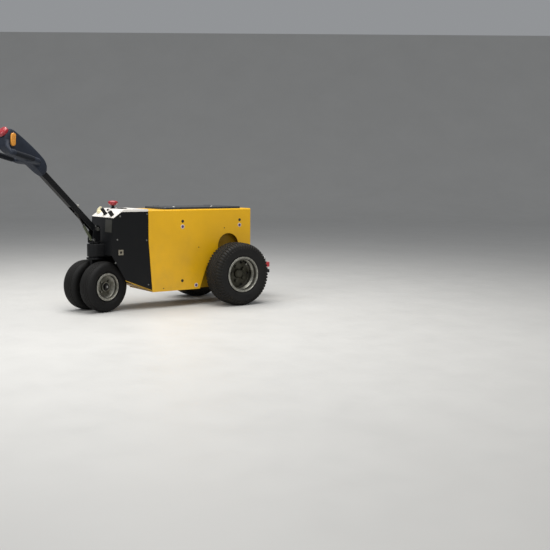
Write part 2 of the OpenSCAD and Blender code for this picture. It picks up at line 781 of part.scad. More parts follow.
// drive tyre with slots cut over its round shoulders, square to a line so far off the radius
module drive_tyre() {
    shoulder = 34;
    grooves = [17, 44];
    groove_w = 5;
    slot_w = 9;
    lean = 42;
    difference() {
        tyre(rear_r, rear_tyre_w, rear_rim_d, rear_rim_w, shoulder, grooves, groove_w, tread_depth);
        for (side = [-1, 1], i = [0 : tread_slots - 1])
            rotate([0, (i + side * 0.25) * 360 / tread_slots, 0])
                translate([0, side * (rear_tyre_w / 2 - shoulder), rear_r - shoulder])
                    rotate([-side * lean, 0, 0])
                        translate([-slot_w / 2, -shoulder, shoulder - tread_depth])
                            cube([slot_w, 2 * shoulder, shoulder]);
    }
}
// section of a rim: rolled lips, bead seats and a sunk well, all of one wall
module rim_section(rim_d, rim_w, sink) {
    f = rim_d / 2;
    seat_r = f - flange_h - 0.2;
    w = rim_w / 2;
    well_w = w - rim_w * 0.2;
    for (side = [-1, 1]) {
        translate([seat_r - rim_t, side > 0 ? w - rim_t : -w]) square([f - 1 - seat_r + rim_t, rim_t]);
        translate([f - lip_r, side * (w - 0.5)]) circle(r = lip_r);
    }
    polygon([[seat_r, w], [seat_r, well_w], [seat_r - sink, well_w - sink], [seat_r - sink, sink - well_w],
        [seat_r, -well_w], [seat_r, -w], [seat_r - rim_t, -w], [seat_r - rim_t, -well_w + rim_t * 0.4],
        [seat_r - sink - rim_t, sink - well_w + rim_t * 0.4],
        [seat_r - sink - rim_t, well_w - sink - rim_t * 0.4], [seat_r - rim_t, well_w - rim_t * 0.4],
        [seat_r - rim_t, w]]);
}
module rear_rim() {
    sink = 11;
    face = rear_rim_w / 2 - rear_dish;
    web_r = rear_rim_d / 2 - flange_h - sink - rim_t;
    hub_end = rear_half_track - axle_half - seat;
    rotate([-90, 0, 0]) difference() {
        union() {
            rotate_extrude() rim_section(rear_rim_d, rear_rim_w, sink);
            // disc, hub flange behind it, stub and cap
            translate([0, 0, face - rim_t]) cylinder(h = rim_t, r = web_r + 1);
            translate([0, 0, face - rim_t - 12]) cylinder(h = 13, r = stud_r + 14);
            translate([0, 0, -hub_end]) cylinder(h = hub_end + face, r = axle_tube_d / 2 - 4);
            translate([0, 0, face - 1]) cylinder(h = 19, r = 29);
            translate([0, 0, face + 18]) cylinder(h = 6, r1 = 29, r2 = 22);
            for (i = [0 : studs - 1]) rotate([0, 0, i * 360 / studs]) translate([stud_r, 0, face - 1])
                cylinder(h = 15, r = 11, $fn = 6);
        }
        // hand holes between the nuts
        for (i = [0 : studs - 1]) rotate([0, 0, (i + 0.5) * 360 / studs])
            translate([(stud_r + 14 + web_r) / 2, 0, face - rim_t - 1]) cylinder(h = rim_t + 2, r = hand_r);
    }
}
module front_rim() {
    sink = 5;
    hub_r = front_axle_d / 2 + 17;
    in_end = twin_spacing / 2 - leg_t / 2 - 5;
    out_end = front_rim_w / 2 - 16;
    web_r = front_rim_d / 2 - flange_h - sink - rim_t;
    rotate([-90, 0, 0]) difference() {
        union() {
            rotate_extrude() {
                rim_section(front_rim_d, front_rim_w, sink);
                // bowl between the well and the hub
                polygon([[web_r + 1, 18], [web_r - 13, 9], [hub_r - 1, 9], [hub_r - 1, 4],
                    [web_r - 11, 4], [web_r + 1, 12]]);
            }
            translate([0, 0, -in_end]) cylinder(h = in_end + out_end, r = hub_r);
            for (i = [0 : 3]) rotate([0, 0, 45 + i * 90]) translate([(web_r - 13 + hub_r) / 2, 0, 8])
                cylinder(h = 9, r = 7, $fn = 6);
        }
        translate([0, 0, -in_end - 1])
            cylinder(h = in_end + out_end + 2, d = front_axle_d + 2 * fit_r);
        // seat of the wheel bearing
        translate([0, 0, out_end - 6]) cylinder(h = 7, r = hub_r - 6);
    }
}
module at_front(side) { steered() translate([0, side * twin_spacing / 2, front_r]) children(); }
module at_rear(side) {
    in_row() translate([0, side * rear_half_track, rear_r]) mirror([0, side > 0 ? 0 : 1, 0]) children();
}
module front_wheel_tyre(side) {
    shoulder = 28;
    grooves = [0, 14];
    groove_w = 3;
    depth = 3.5;
    at_front(side)
        tyre(front_r, front_tyre_w, front_rim_d, front_rim_w, shoulder, grooves, groove_w, depth);
}
module front_tyre_left() { color("#1b1b1b") front_wheel_tyre(1); }
module front_tyre_right() { color("#1b1b1b") front_wheel_tyre(-1); }
module front_rim_left() { color("#8f8e8a") at_front(1) front_rim(); }
module front_rim_right() { color("#8f8e8a") at_front(-1) mirror([0, 1, 0]) front_rim(); }
module rear_tyre_left() { color("#1b1b1b") at_rear(1) drive_tyre(); }
module rear_tyre_right() { color("#1b1b1b") at_rear(-1) drive_tyre(); }
module rear_rim_left() { color("#8f8e8a") at_rear(1) rear_rim(); }
module rear_rim_right() { color("#8f8e8a") at_rear(-1) rear_rim(); }

// Tiller
module tiller_arm() {
    channel_end = 230;
    eye = spring_eye_local();
    color("#1c1c1f") tilted() difference() {
        union() {
            translate([-22, -arm_w / 2, -arm_h / 2 - arm_drop]) cube([arm_len + 22 - 0.2, arm_w, arm_h]);
            along_y(-arm_w / 2) cylinder(h = arm_w, r = 22);
        }
        // inside
        translate([-40, -arm_w / 2 + arm_t, -arm_h / 2 - arm_drop - 40])
            cube([channel_end + 40, arm_w - 2 * arm_t, arm_h + 40 - arm_t]);
        translate([0, -arm_w, 0]) along_y() cylinder(h = 2 * arm_w, d = pivot_d + 2 * fit_r);
    }
}
function spring_eye_local() = [
    spring_eye_x * cos(tiller_angle) + (spring_eye_z - pivot_z) * sin(tiller_angle),
    -spring_eye_x * sin(tiller_angle) + (spring_eye_z - pivot_z) * cos(tiller_angle)];
// the console's sections, each a thin slab: up the tiller from the head's foot, underside,
// sides' top, crown and half the width at the sides
section_t = 1;
console_sections = [
    [0, -27, 12, 14, 22], [24, -28, 28, 34, 32], [60, -29, 44, 54, console_w / 2],
    [100, -32, 47, 59, console_w / 2], [190, -56, 41, 54, console_w / 2],
    [console_l - 91, -79, 34, 46, console_w / 2], [console_l - 41, -79, 27, 39, console_w / 2],
    [console_l - 21, -62, 24, 36, console_w / 2],
    [console_l - section_t, -belly_d / 2, 22, belly_d / 2, console_w / 2 - 4]];
module console_section(k) {
    low = k[1];
    side = k[2];
    crown = k[3];
    half = k[4];
    translate([arm_len + k[0], 0, 0]) rotate([90, 0, 90]) linear_extrude(section_t)
        offset(r = 5, $fn = 20) offset(delta = -5)
            polygon([[-half + 6, low], [half - 6, low], [half, low + 12], [half, side],
                [half * 0.55, crown], [-half * 0.55, crown], [-half, side], [-half, low + 12]]);
}
// along a grip from the bend, across the tug, out of the grips' plane
module bent() { translate([bend_x, 0, 0]) rotate([0, bend, 0]) children(); }
function bent_point(h, n) = [bend_x + h * cos(bend), n, -h * sin(bend)];
module rod_between(a, b, r) {
    hull() {
        translate(a) sphere(r = r, $fn = 16);
        translate(b) sphere(r = r, $fn = 16);
    }
}
module tiller_head() {
    wing_r = 13;
    strut_r = 11;
    strut_top = [console_end - 30, console_w / 2 - 2, -46];
    strut_knee = [console_end - 36, console_w / 2 + 22, -80];
    color("#1c1c1f") tilted() {
        for (i = [0 : len(console_sections) - 2]) hull() {
            console_section(console_sections[i]);
            console_section(console_sections[i + 1]);
        }
        for (side = [-1, 1]) mirror([0, side > 0 ? 0 : 1, 0]) {
            // shoulder that carries the grip
            bent() hull() for (p = [[-16, console_w / 2 - 14], [36, grip_y], [58, grip_y],
                [62, console_w / 2]]) translate([p[0], p[1], -3]) sphere(r = wing_r, $fn = 20);
            bent() translate([40, grip_y, 0]) along_x()
                cylinder(h = grip_end - 40 - cap_l, d = grip_d, $fn = 32);
            bent() translate([grip_end - cap_l, grip_y, 0]) along_x() {
                cylinder(h = cap_l - cap_edge, r = cap_r, $fn = 32);
                translate([0, 0, cap_l - cap_edge - 0.01])
                    cylinder(h = cap_edge + 0.01, r1 = cap_r, r2 = cap_r - cap_edge, $fn = 32);
            }
            // strut from the grip's end up to the console's side
            rod_between(bent_point(grip_end - 14, grip_y), strut_knee, strut_r);
            rod_between(strut_knee, strut_top, strut_r);
        }
    }
}
module throttle() {
    paddle_t = 12;
    paddle_r = 15;
    color("#e0a020") tilted() for (side = [-1, 1])
        translate([0, side > 0 ? console_w / 2 + seat : -console_w / 2 - seat - paddle_t, 0]) hull()
            for (p = [[console_end - 32, -3], [console_end - 58, -36]])
                translate([p[0], 0, p[1]]) along_y() cylinder(h = paddle_t, r = paddle_r, $fn = 32);
}
module reverse_button() {
    rim = 6;
    color("#c8202c") tilted() along_x(console_end + 0.1) {
        cylinder(h = belly_l - rim, d = belly_d);
        translate([0, 0, belly_l - rim]) cylinder(h = rim, r1 = belly_d / 2, r2 = belly_d / 2 - 7);
    }
}

// Gas spring
module spring_tube_body() {
    color("#8a9084") sprung() difference() {
        union() {
            along_y(-6) cylinder(h = 12, r = 9);
            translate([0, 0, 6]) cylinder(h = spring_tube, d = spring_d);
        }
        along_y(-7) cylinder(h = 14, r = 5 + fit_r);
        translate([0, 0, 14]) cylinder(h = spring_tube, d = spring_rod_d + 2 * fit_r);
    }
}
module spring_rod() {
    eye_r = 9;
    eye_w = 10;
    rod_l = 140;
    color("silver") sprung() union() {
        translate([0, 0, spring_len - eye_r + 2 - rod_l]) cylinder(h = rod_l, d = spring_rod_d);
        translate([0, 0, spring_len]) along_y(-eye_w / 2) cylinder(h = eye_w, r = eye_r);
    }
}

chassis_frame();
side_cover_left();
side_cover_right();
rear_panel();
top_plate();
nose_shell();
instrument_plate();
key_switch();
battery_gauge();
hour_meter();
stop_button();
charge_flap();
front_plate();
eye_plate();
battery_block();
drive_axle();
drive_motor();
steering_head();
tow_bracket();
tow_jaw();
tow_jaw_top();
tow_pin();
tail_light_left();
tail_light_right();
lid_hinge();
battery_lid();
steering_fork();
tiller_clevis();
front_axle();
tiller_pin();
spring_pin();
front_tyre_left();
front_tyre_right();
front_rim_left();
front_rim_right();
rear_tyre_left();
rear_tyre_right();
rear_rim_left();
rear_rim_right();
tiller_arm();
tiller_head();
throttle();
reverse_button();
spring_tube_body();
spring_rod();
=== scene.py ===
"""Looks of a walk-behind electric tow tug: tyres with tread, galvanised rims, painted sheet,
moulded tiller head, instruments, screws and lamps, on a plain floor under studio lights."""

import math

import bmesh
import bpy
import numpy as np
from bpy.props import FloatProperty, FloatVectorProperty, IntProperty, PointerProperty
from mathutils import Matrix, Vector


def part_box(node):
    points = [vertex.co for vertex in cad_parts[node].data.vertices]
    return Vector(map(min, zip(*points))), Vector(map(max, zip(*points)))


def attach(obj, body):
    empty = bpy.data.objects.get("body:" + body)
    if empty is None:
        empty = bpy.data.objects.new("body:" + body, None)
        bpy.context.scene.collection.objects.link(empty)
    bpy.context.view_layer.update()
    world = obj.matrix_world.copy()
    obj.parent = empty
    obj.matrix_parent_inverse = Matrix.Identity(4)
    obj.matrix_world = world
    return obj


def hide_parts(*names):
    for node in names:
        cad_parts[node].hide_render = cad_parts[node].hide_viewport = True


bl_info = {
    "name": "Tow tug looks",
    "version": (1, 0, 0),
    "blender": (4, 5, 0),
    "location": "3D View > Sidebar > Tow tug",
    "description": "Builds the visible pieces and finishes of a walk-behind tow tug round its CAD frame",
    "category": "Add Mesh",
}

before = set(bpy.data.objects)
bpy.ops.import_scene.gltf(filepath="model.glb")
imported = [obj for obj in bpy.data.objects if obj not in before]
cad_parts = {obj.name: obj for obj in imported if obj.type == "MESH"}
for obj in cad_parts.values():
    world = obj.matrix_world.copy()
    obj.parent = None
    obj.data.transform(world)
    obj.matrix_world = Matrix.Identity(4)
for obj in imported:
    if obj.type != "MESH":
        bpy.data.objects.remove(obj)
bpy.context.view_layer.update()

MM = 0.001
FORWARDS, LEFT, UP = (1.0, 0.0, 0.0), (0.0, 1.0, 0.0), (0.0, 0.0, 1.0)
SIDES = ((1, "left"), (-1, "right"))
AXLE_X = sum(corner[0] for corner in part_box("drive_axle")) / 2

# Sizes in mm and angles at rest. s runs forwards from the drive axle, y to the left, z up.
DRIVE_R = 203.0
DRIVE_TRACK = 265.0
FRONT_R = 155.0
TWIN_HALF = 78.0
KINGPIN_S = 877.0
STEER = math.radians(15.0)
PIVOT_Z = 505.0
TILT = math.radians(42.5)
BEND_D = 585.0
BEND = math.radians(28.0)
GRIP_Y = 100.0
SIDE_Y = 156.0
NOSE_Y = 153.0
BODY_TOP = 621.0
PLATE_TOP = 626.0
PLATE_THICK = 3.0
SLOPE_FOOT = (822.0, 0.0, 575.0)
SLOPE = math.atan2(37.0, 54.0)
HEAD_FOOT, HEAD_TOP = 336.0, 414.0
CROWN_Z, CROWN_THICK = 318.0, 12.0
CLEVIS_FOOT = 419.0


# Frames of the tug
def row(p):
    """Points in mm from the drive axle, as metres in the row frame."""
    return np.asarray(p, float) * MM + np.array([AXLE_X, 0.0, 0.0])


def frame_in(parent, origin, *axes):
    """A frame in another one: a point (x, y, z) is at origin + x * its first axis + y * its
    second axis + z * its third axis."""
    return lambda p: parent(np.asarray(p, float) @ np.array(axes) + np.array(origin))


def slant(angle):
    """Axes that rise by an angle: forwards along the slope, to the left, and out of it."""
    c, s = math.cos(angle), math.sin(angle)
    return (c, 0.0, s), LEFT, (-s, 0.0, c)


AHEAD = (math.cos(STEER), math.sin(STEER), 0.0)
ASIDE = (-math.sin(STEER), math.cos(STEER), 0.0)
BACK_UP = (-math.cos(SLOPE), 0.0, math.sin(SLOPE))
OFF_SLOPE = (math.sin(SLOPE), 0.0, math.cos(SLOPE))
# forwards of the kingpin, to the tiller's left, up
steered = frame_in(row, (KINGPIN_S, 0.0, 0.0), AHEAD, ASIDE, UP)
# up the tiller from its pivot, to its left, out of its back
tilted = frame_in(steered, (0.0, 0.0, PIVOT_Z), *slant(TILT))
# out along the grips from the bend, to the left, out of the grips' plane; in the tiller's frame
bent = frame_in(np.asarray, (BEND_D, 0.0, 0.0), *slant(-BEND))
# up the instrument slope from its front end, to the left, out of the plate on it
on_slope = frame_in(row, np.array(SLOPE_FOOT) + PLATE_THICK * np.array(OFF_SLOPE),
                    BACK_UP, LEFT, OFF_SLOPE)


# Surfaces: grids of points worked out as whole arrays
def turn(count):
    """Equal steps of angle round a full turn."""
    return np.arange(count) * (2 * np.pi / count)


def basis(axis):
    """Three unit vectors, the first along axis and the second as near to up as it can be, or to
    forwards where the axis is upright."""
    a = np.asarray(axis, float)
    a = a / np.linalg.norm(a)
    u = np.array(UP if abs(a[2]) <= 0.95 else FORWARDS)
    u = u - a * (a @ u)
    u = u / np.linalg.norm(u)
    return a, u, np.cross(a, u)


def lathe(profile, origin, axis, steps):
    """A profile (along the axis, radius) turned round the axis: point = origin + along * axis
    + radius * (cos of the angle * up + sin of the angle * side)."""
    a, u, v = basis(axis)
    p = np.asarray(profile, float)[..., None, None]
    t = turn(steps)
    return (np.asarray(origin, float) + p[:, 0] * a
            + p[:, 1] * (np.cos(t)[:, None] * u + np.sin(t)[:, None] * v))


def ring(radius, tube, at, axis):
    """A round ring of round wire: each point is at + (radius + tube * cos b) * the turned
    direction + tube * sin b * axis."""
    a, u, v = basis(axis)
    t, b = turn(40), turn(12)
    out = np.cos(t)[:, None] * u + np.sin(t)[:, None] * v
    return (np.asarray(at, float) + (radius + tube * np.cos(b))[None, :, None] * out[:, None]
            + (tube * np.sin(b))[None, :, None] * a)


def smooth_line(points, count, closed=False):
    """A smooth curve through the points: each stretch is the cubic whose end slopes are half
    the difference of the neighbours."""
    p = np.asarray(points, float)
    if closed:
        q = np.vstack([p[-1], p, p[0], p[1]])
        spans = len(p)
    else:
        q = np.vstack([2 * p[0] - p[1], p, 2 * p[-1] - p[-2]])
        spans = len(p) - 1
    x = np.linspace(0, spans, count, endpoint=not closed)
    i = np.minimum(x.astype(int), spans - 1)
    t = (x - i)[:, None]
    a, b, c, d = q[i], q[i + 1], q[i + 2], q[i + 3]
    return 0.5 * (2 * b + (c - a) * t + (2 * a - 5 * b + 4 * c - d) * t ** 2
                  + (3 * b - a - 3 * c + d) * t ** 3)


def loft(controls, count):
    """Closed smooth outlines through each row's control points: rows of points."""
    c = np.asarray(controls, float)
    flat = np.swapaxes(c, 0, 1).reshape(c.shape[1], -1)
    return np.swapaxes(smooth_line(flat, count, True).reshape(count, c.shape[0], 3), 0, 1)


def sweep(path, section, scale=1.0, up=UP):
    """A closed section (side, lift) carried along a path: point = path + scale * (side * s
    + lift * u), where s and u stay square to the path and u stays as near to up as it can."""
    p = np.asarray(path, float)
    way = np.gradient(p, axis=0)
    way /= np.linalg.norm(way, axis=1)[:, None]
    u = np.array(up) - way * (way @ np.array(up))[:, None]
    u /= np.linalg.norm(u, axis=1)[:, None]
    s = np.cross(u, way)
    size = np.broadcast_to(scale, len(p))[:, None, None]
    return p[:, None] + size * (section[:, :1] * s[:, None] + section[:, 1:] * u[:, None])


def arc(radius, start, end, steps):
    """Points of an arc about zero, from one angle to another."""
    t = np.linspace(start, end, steps)
    return radius * np.stack([np.cos(t), np.sin(t)], -1)


def circle(radius, steps):
    """Points of a circle."""
    return arc(radius, 0, 2 * np.pi * (1 - 1 / steps), steps)


def round_box(width, height, radius, steps=5):
    """Outline of a rectangle with round corners, the middle at zero, anticlockwise."""
    corners = ((1, 1), (-1, 1), (-1, -1), (1, -1))
    inner = np.array([width / 2 - radius, height / 2 - radius])
    return np.vstack([inner * corner + arc(radius, k * np.pi / 2, (k + 1) * np.pi / 2, steps)
                      for k, corner in enumerate(corners)])


def capsule(p, q, radius, steps=9):
    """Outline of a strip with round ends from p to q."""
    p, q = np.asarray(p, float), np.asarray(q, float)
    lead = math.atan2(*(q - p)[::-1])
    return np.vstack([end + arc(radius, lead + back - np.pi / 2, lead + back + np.pi / 2, steps)
                      for end, back in ((q, 0.0), (p, np.pi))])


def layers(outline, rows):
    """Rows of an outline, each moved inwards by d along its own normals and lifted to z."""
    o = np.asarray(outline, float)
    way = np.roll(o, -1, 0) - np.roll(o, 1, 0)
    way /= np.linalg.norm(way, axis=1)[:, None] + 1e-12
    inwards = np.stack([-way[:, 1], way[:, 0]], -1)
    return np.stack([np.column_stack([o + d * inwards, np.full(len(o), z)]) for d, z in rows])


def slab(outline, low, high, edge, steps=4):
    """A plate with rounded edges: its outline in rows, outwards round the lower edge and then
    inwards round the upper edge."""
    t = np.linspace(0, np.pi / 2, steps)
    rows = [(edge * (1 - math.sin(a)), low + edge * (1 - math.cos(a))) for a in t]
    rows += [(edge * (1 - math.cos(a)), high - edge * (1 - math.sin(a))) for a in t]
    return layers(outline, rows)


# How a plate lies: its thickness goes up, across the tug or along it
FLAT, ACROSS, ALONG = [0, 1, 2], [0, 2, 1], [2, 0, 1]


class Shell:
    """The surfaces of one piece, as one mesh of quads with fans over its open ends."""

    def __init__(self, place):
        """place takes points in mm in a frame of the tug to metres in the row."""
        self.place = place
        self.points, self.quads, self.fans, self.tones = [], [], [], []
        self.quad_mats, self.fan_mats, self.count = [], [], 0

    def add(self, grid, finish=0, loop=False, tone=1.0):
        """A grid whose second way is closed. loop joins its last row to its first, and without
        it a fan closes each of the two. tone is one number, or one for each point."""
        grid = self.place(grid)
        rows, cols = grid.shape[:2]
        base = self.count + np.arange(rows * cols).reshape(rows, cols)
        here = base if loop else base[:-1]
        there = np.roll(base, -1, 0) if loop else base[1:]
        self.quads.append(np.stack([here, np.roll(here, -1, 1), np.roll(there, -1, 1), there],
                                   -1).reshape(-1, 4))
        self.quad_mats.append(np.full(here.size, finish))
        self.points.append(grid.reshape(-1, 3))
        self.tones.append(np.broadcast_to(tone, (rows, cols)).ravel())
        self.count += rows * cols
        if not loop:
            for k in (0, -1):
                self.points.append(grid[k].mean(0)[None])
                self.tones.append(self.tones[-1][:1])
                self.fans.append(np.stack([base[k], np.roll(base[k], -1),
                                           np.full(cols, self.count)], -1))
                self.fan_mats.append(np.full(cols, finish))
                self.count += 1
        return self

    def turned(self, profile, at, axis, steps, finish=0):
        """A lathe of a profile (along the axis, radius)."""
        self.add(lathe(profile, at, axis, steps), finish)

    def plate(self, outline, low, high, edge, at=(0, 0, 0), finish=0, lie=FLAT, flip=(1, 1, 1), steps=4):
        """A slab that lies as told, mirrored by the signs in flip and then moved."""
        self.add(slab(outline, low, high, edge, steps)[..., lie] * flip + at, finish)

    def screw(self, at, axis, radius, height, finish=0, socket=True):
        """A domed screw head: it falls as the square of the distance from its middle. The
        socket is a six-sided face on it."""
        share = np.linspace(1.0, 0.5, 5)
        dome = height * (0.35 + 0.65 * (1 - share ** 2))
        self.turned([(0.0, radius), *zip(dome, radius * share)], at, axis, 20, finish)
        if socket:
            top = height * 0.84
            self.turned([(top - 0.2, radius * 0.42), (top, radius * 0.46),
                         (top + 0.3, radius * 0.42)], at, axis, 6, finish)

    def bolt(self, at, axis, radius, height):
        """A washer, a six-sided head with its corners turned off and the end of its thread, as
        profiles in shares of the height and the radius."""
        for steps, profile in ((28, [(0.0, 1.3), (0.18, 1.3)]),
                               (6, [(0.18, 1.0), (0.86, 1.0), (1.0, 0.84)]),
                               (16, [(1.0, 0.5), (1.25, 0.46)])):
            self.turned(np.array(profile) * (height, radius), at, axis, steps)

    def mesh(self, name):
        """Puts the arrays into a mesh, merges doubles and turns its faces outwards."""
        mesh = bpy.data.meshes.new(name)
        quads = np.concatenate(self.quads)
        fans = np.concatenate(self.fans or [np.zeros((0, 3), int)])
        corners = np.concatenate([quads.ravel(), fans.ravel()])
        starts = np.concatenate([np.arange(len(quads)) * 4, quads.size + np.arange(len(fans)) * 3])
        mesh.vertices.add(self.count)
        mesh.loops.add(len(corners))
        mesh.polygons.add(len(starts))
        mats = np.concatenate(self.quad_mats + self.fan_mats)
        mesh.vertices.foreach_set("co", np.concatenate(self.points).astype(np.float32).ravel())
        mesh.loops.foreach_set("vertex_index", corners.astype(np.int32))
        mesh.polygons.foreach_set("loop_start", starts.astype(np.int32))
        mesh.polygons.foreach_set("material_index", mats.astype(np.int32))
        tone = mesh.attributes.new("tone", "FLOAT", "POINT")
        tone.data.foreach_set("value", np.concatenate(self.tones).astype(np.float32))
        mesh.update(calc_edges=True)
        mesh.validate()
        work = bmesh.new()
        work.from_mesh(mesh)
        bmesh.ops.remove_doubles(work, verts=work.verts, dist=2e-6)
        bmesh.ops.recalc_face_normals(work, faces=work.faces)
        work.to_mesh(mesh)
        work.free()
        return mesh


def make_piece(name, shell, finishes, body, stands_for=(), sharp=32.0):
    """Makes the object, gives it its finishes, parents it to its body and hides the nodes it stands for."""
    mesh = shell.mesh(name)
    mesh.shade_smooth()
    mesh.set_sharp_from_angle(angle=math.radians(sharp))
    piece = bpy.data.objects.new(name, mesh)
    bpy.context.scene.collection.objects.link(piece)
    for finish in finishes:
        mesh.materials.append(FINISHES[finish])
    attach(piece, body)
    if stands_for:
        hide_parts(*stands_for)
    return piece


# Finishes
FINISHES = {}


def linear(colour):
    """An sRGB colour, 0 to 255, as linear light."""
    c = np.asarray(colour, float) / 255.0
    return np.where(c <= 0.04045, c / 12.92, ((c + 0.055) / 1.055) ** 2.4)


def shade(colour, share):
    """A linear colour made darker or lighter."""
    return np.minimum(np.array(colour) * share, 1.0)


class Wire:
    """A socket in a finish; sums and products on it add Math nodes."""

    def __init__(self, finish, socket):
        self.finish, self.socket = finish, socket

    def _math(self, operation, first, second):
        return self.finish.add("ShaderNodeMath", {"operation": operation}, first, second)

    def __add__(self, other):
        return self._math("ADD", self, other)

    def __sub__(self, other):
        return self._math("SUBTRACT", self, other)

    def __mul__(self, other):
        return self._math("MULTIPLY", self, other)

    def __pow__(self, other):
        return self._math("POWER", self, other)

    def __rsub__(self, other):
        return self._math("SUBTRACT", other, self)

    __radd__, __rmul__ = __add__, __mul__


class Finish:
    """One material: a Principled shader and the nodes that feed it."""

    def __init__(self, name, **constants):
        self.material = bpy.data.materials.new(name)
        self.material.use_nodes = True
        self.tree = self.material.node_tree
        self.shader = self.tree.nodes["Principled BSDF"]
        self.set(**constants)
        FINISHES[name] = self.material

    def feed(self, socket, value):
        """Links a wire to a socket, or sets it to a number or vector. None leaves it as it is."""
        if isinstance(value, Wire):
            self.tree.links.new(value.socket, socket)
        elif value is not None:
            socket.default_value = value

    def set(self, **values):
        """Numbers and wires on the shader's own sockets."""
        for name, value in values.items():
            self.feed(self.shader.inputs[name.replace("_", " ")], value)

    def add(self, kind, settings=None, *values, out=0, **named):
        """A node of a type, its settings set first, then its sockets in order or by name."""
        node = self.tree.nodes.new(kind)
        for key, value in (settings or {}).items():
            setattr(node, key, value)
        for socket, value in zip(node.inputs, values):
            self.feed(socket, value)
        for name, value in named.items():
            self.feed(node.inputs[name], value)
        return Wire(self, node.outputs[out])

    def place(self):
        """The point on the object, in metres."""
        return self.add("ShaderNodeTexCoord", out=3)

    def part(self, axis):
        """One coordinate of the point, 0 for x, 1 for y and 2 for z."""
        return self.add("ShaderNodeSeparateXYZ", None, self.place(), out=axis)

    def wheel_radius(self, steer):
        """How far the point is from the steered wheels' axle, or else from the drive axle."""
        x, y, z = (self.part(axis) for axis in range(3))
        if steer:
            ahead = (x - (AXLE_X + KINGPIN_S * MM)) * AHEAD[0] + y * AHEAD[1]
            up = z - FRONT_R * MM
        else:
            ahead, up = x - AXLE_X, z - DRIVE_R * MM
        return (ahead * ahead + up * up) ** 0.5

    def stretched(self, x, y, z):
        """The point with its coordinates multiplied, for streaks."""
        return self.add("ShaderNodeVectorMath", {"operation": "MULTIPLY"}, self.place(), (x, y, z))

    def noise(self, scale, detail=3.0, rough=0.55, where=None):
        """Cloudy noise from 0 to 1."""
        return self.add("ShaderNodeTexNoise", None, Vector=where or self.place(), Scale=scale,
                        Detail=detail, Roughness=rough)

    def cells(self, scale, out):
        """Scattered cells: how far their middle is (0), or a colour for each (1)."""
        return self.add("ShaderNodeTexVoronoi", None, Vector=self.place(), Scale=scale, out=out)

    def levels(self, value, low=0.3, high=0.7, start=0.0, end=1.0):
        """value from low to high, taken to start to end and held at both."""
        return self.add("ShaderNodeMapRange", {"clamp": True}, value, low, high, start, end)

    def mix(self, share, first, second):
        """A colour between two linear colours or wires: the sockets 0, 6 and 7 of a Mix node."""
        ends = [end if isinstance(end, Wire) else (*end, 1.0) for end in (first, second)]
        return self.add("ShaderNodeMix", {"data_type": "RGBA"}, share, *[None] * 5, *ends, out=2)

    def between(self, share, first, second):
        """A colour between two sRGB colours."""
        return self.mix(share, linear(first), linear(second))

    def bump(self, height, strength, distance=0.0006):
        """A bump of that height on the shader's normal."""
        self.set(Normal=self.add("ShaderNodeBump", None, Strength=strength, Distance=distance,
                                 Height=height))


def paint(name, colour, dust, roughness, peel=0.06, dust_share=0.5, coat=0.0, sheen=0.5):
    """Powder coat: two near tones, dust that gathers low down and in soft patches, faint
    rubbed marks, and an orange-peel bump."""
    f = Finish(name, Coat_Weight=coat, Coat_Roughness=0.12, Specular_IOR_Level=sheen)
    body = f.mix(f.levels(f.noise(3.1, 4.0), 0.35, 0.68), shade(colour, 0.93), shade(colour, 1.06))
    low = f.levels(f.part(2), 0.50, 0.09)
    patches = f.levels(f.noise(9.0, 6.0, 0.62), 0.42, 0.72)
    dirt = f.levels((low * 0.75 + 0.16) * patches, 0.0, 1.0, 0.0, dust_share)
    marks = f.levels(f.noise(70.0, 2.0, 0.5, f.stretched(1.0, 1.0, 0.12)), 0.66, 0.74, 0.0, 0.10)
    f.set(Base_Color=f.mix(marks, f.mix(dirt, body, linear(dust)), shade(colour, 1.3)),
          Roughness=f.levels(f.noise(26.0) * 0.5 + dirt, 0.15, 1.0, roughness, roughness + 0.25))
    f.bump(f.noise(430.0, 2.0, 0.5), peel)


def metal(name, metallic, grain, first, second, smooth, rough, dents=0.06, deep=0.0003, stretch=None):
    """Bare metal: one fine grain moves its colour and its roughness between two ends and dents
    it. stretch draws the grain out into brush marks."""
    f = Finish(name, Metallic=metallic)
    fine = f.noise(*grain, where=f.stretched(*stretch) if stretch else None)
    f.set(Base_Color=f.between(fine, first, second), Roughness=f.levels(fine, 0.3, 0.7, smooth, rough))
    f.bump(fine, dents, deep)


def rim_zinc(name, flange, inner, depth):
    """Hot-dip zinc in spangles, with grime in clouds and painted shade from the flange's radius inwards."""
    f = Finish(name, Metallic=0.9)
    grains = f.add("ShaderNodeSeparateColor", None, f.cells(95.0, 1))
    cloud = f.noise(14.0, 5.0, 0.6)
    zinc = f.between(grains, (150, 149, 141), (190, 189, 180))
    # painted shade in the rim's dish: darker from the flange's radius inwards, up to depth, added to the
    # grime
    dish_shade = f.levels(f.wheel_radius(name == "steer_rim"), flange, inner, 0.0, depth)
    grime_and_shade = f.levels(cloud, 0.42, 0.72, 0.0, 0.5) + dish_shade
    f.set(Base_Color=f.mix(f.levels(grime_and_shade, 0.0, 1.0, 0.0, 0.92), zinc, linear((54, 52, 40))),
          Roughness=f.levels(cloud + grains * 0.25 + dish_shade * 0.4, 0.35, 1.2, 0.26, 0.6))
    f.bump(grains, 0.05)


def tyre(name, sheen, worn_to, dusty_to):
    """Tyre rubber: worn on the blocks and dusty in the grooves, by the mesh's tone."""
    f = Finish(name, Specular_IOR_Level=sheen)
    wear = f.add("ShaderNodeAttribute", {"attribute_name": "tone"}, out=2)
    cloud = f.noise(12.0, 6.0, 0.65)
    speck = f.noise(210.0)
    worn = f.between(f.levels(cloud), (15, 15, 15), worn_to)
    dusty = f.between(f.levels(cloud, 0.25, 0.75), (20, 19, 18), dusty_to)
    f.set(Base_Color=f.mix(f.levels(wear + speck * 0.3, 0.55, 1.15), dusty, worn),
          Roughness=f.levels(cloud, 0.3, 0.75, 0.56, 0.8))
    f.bump(speck, 0.25)


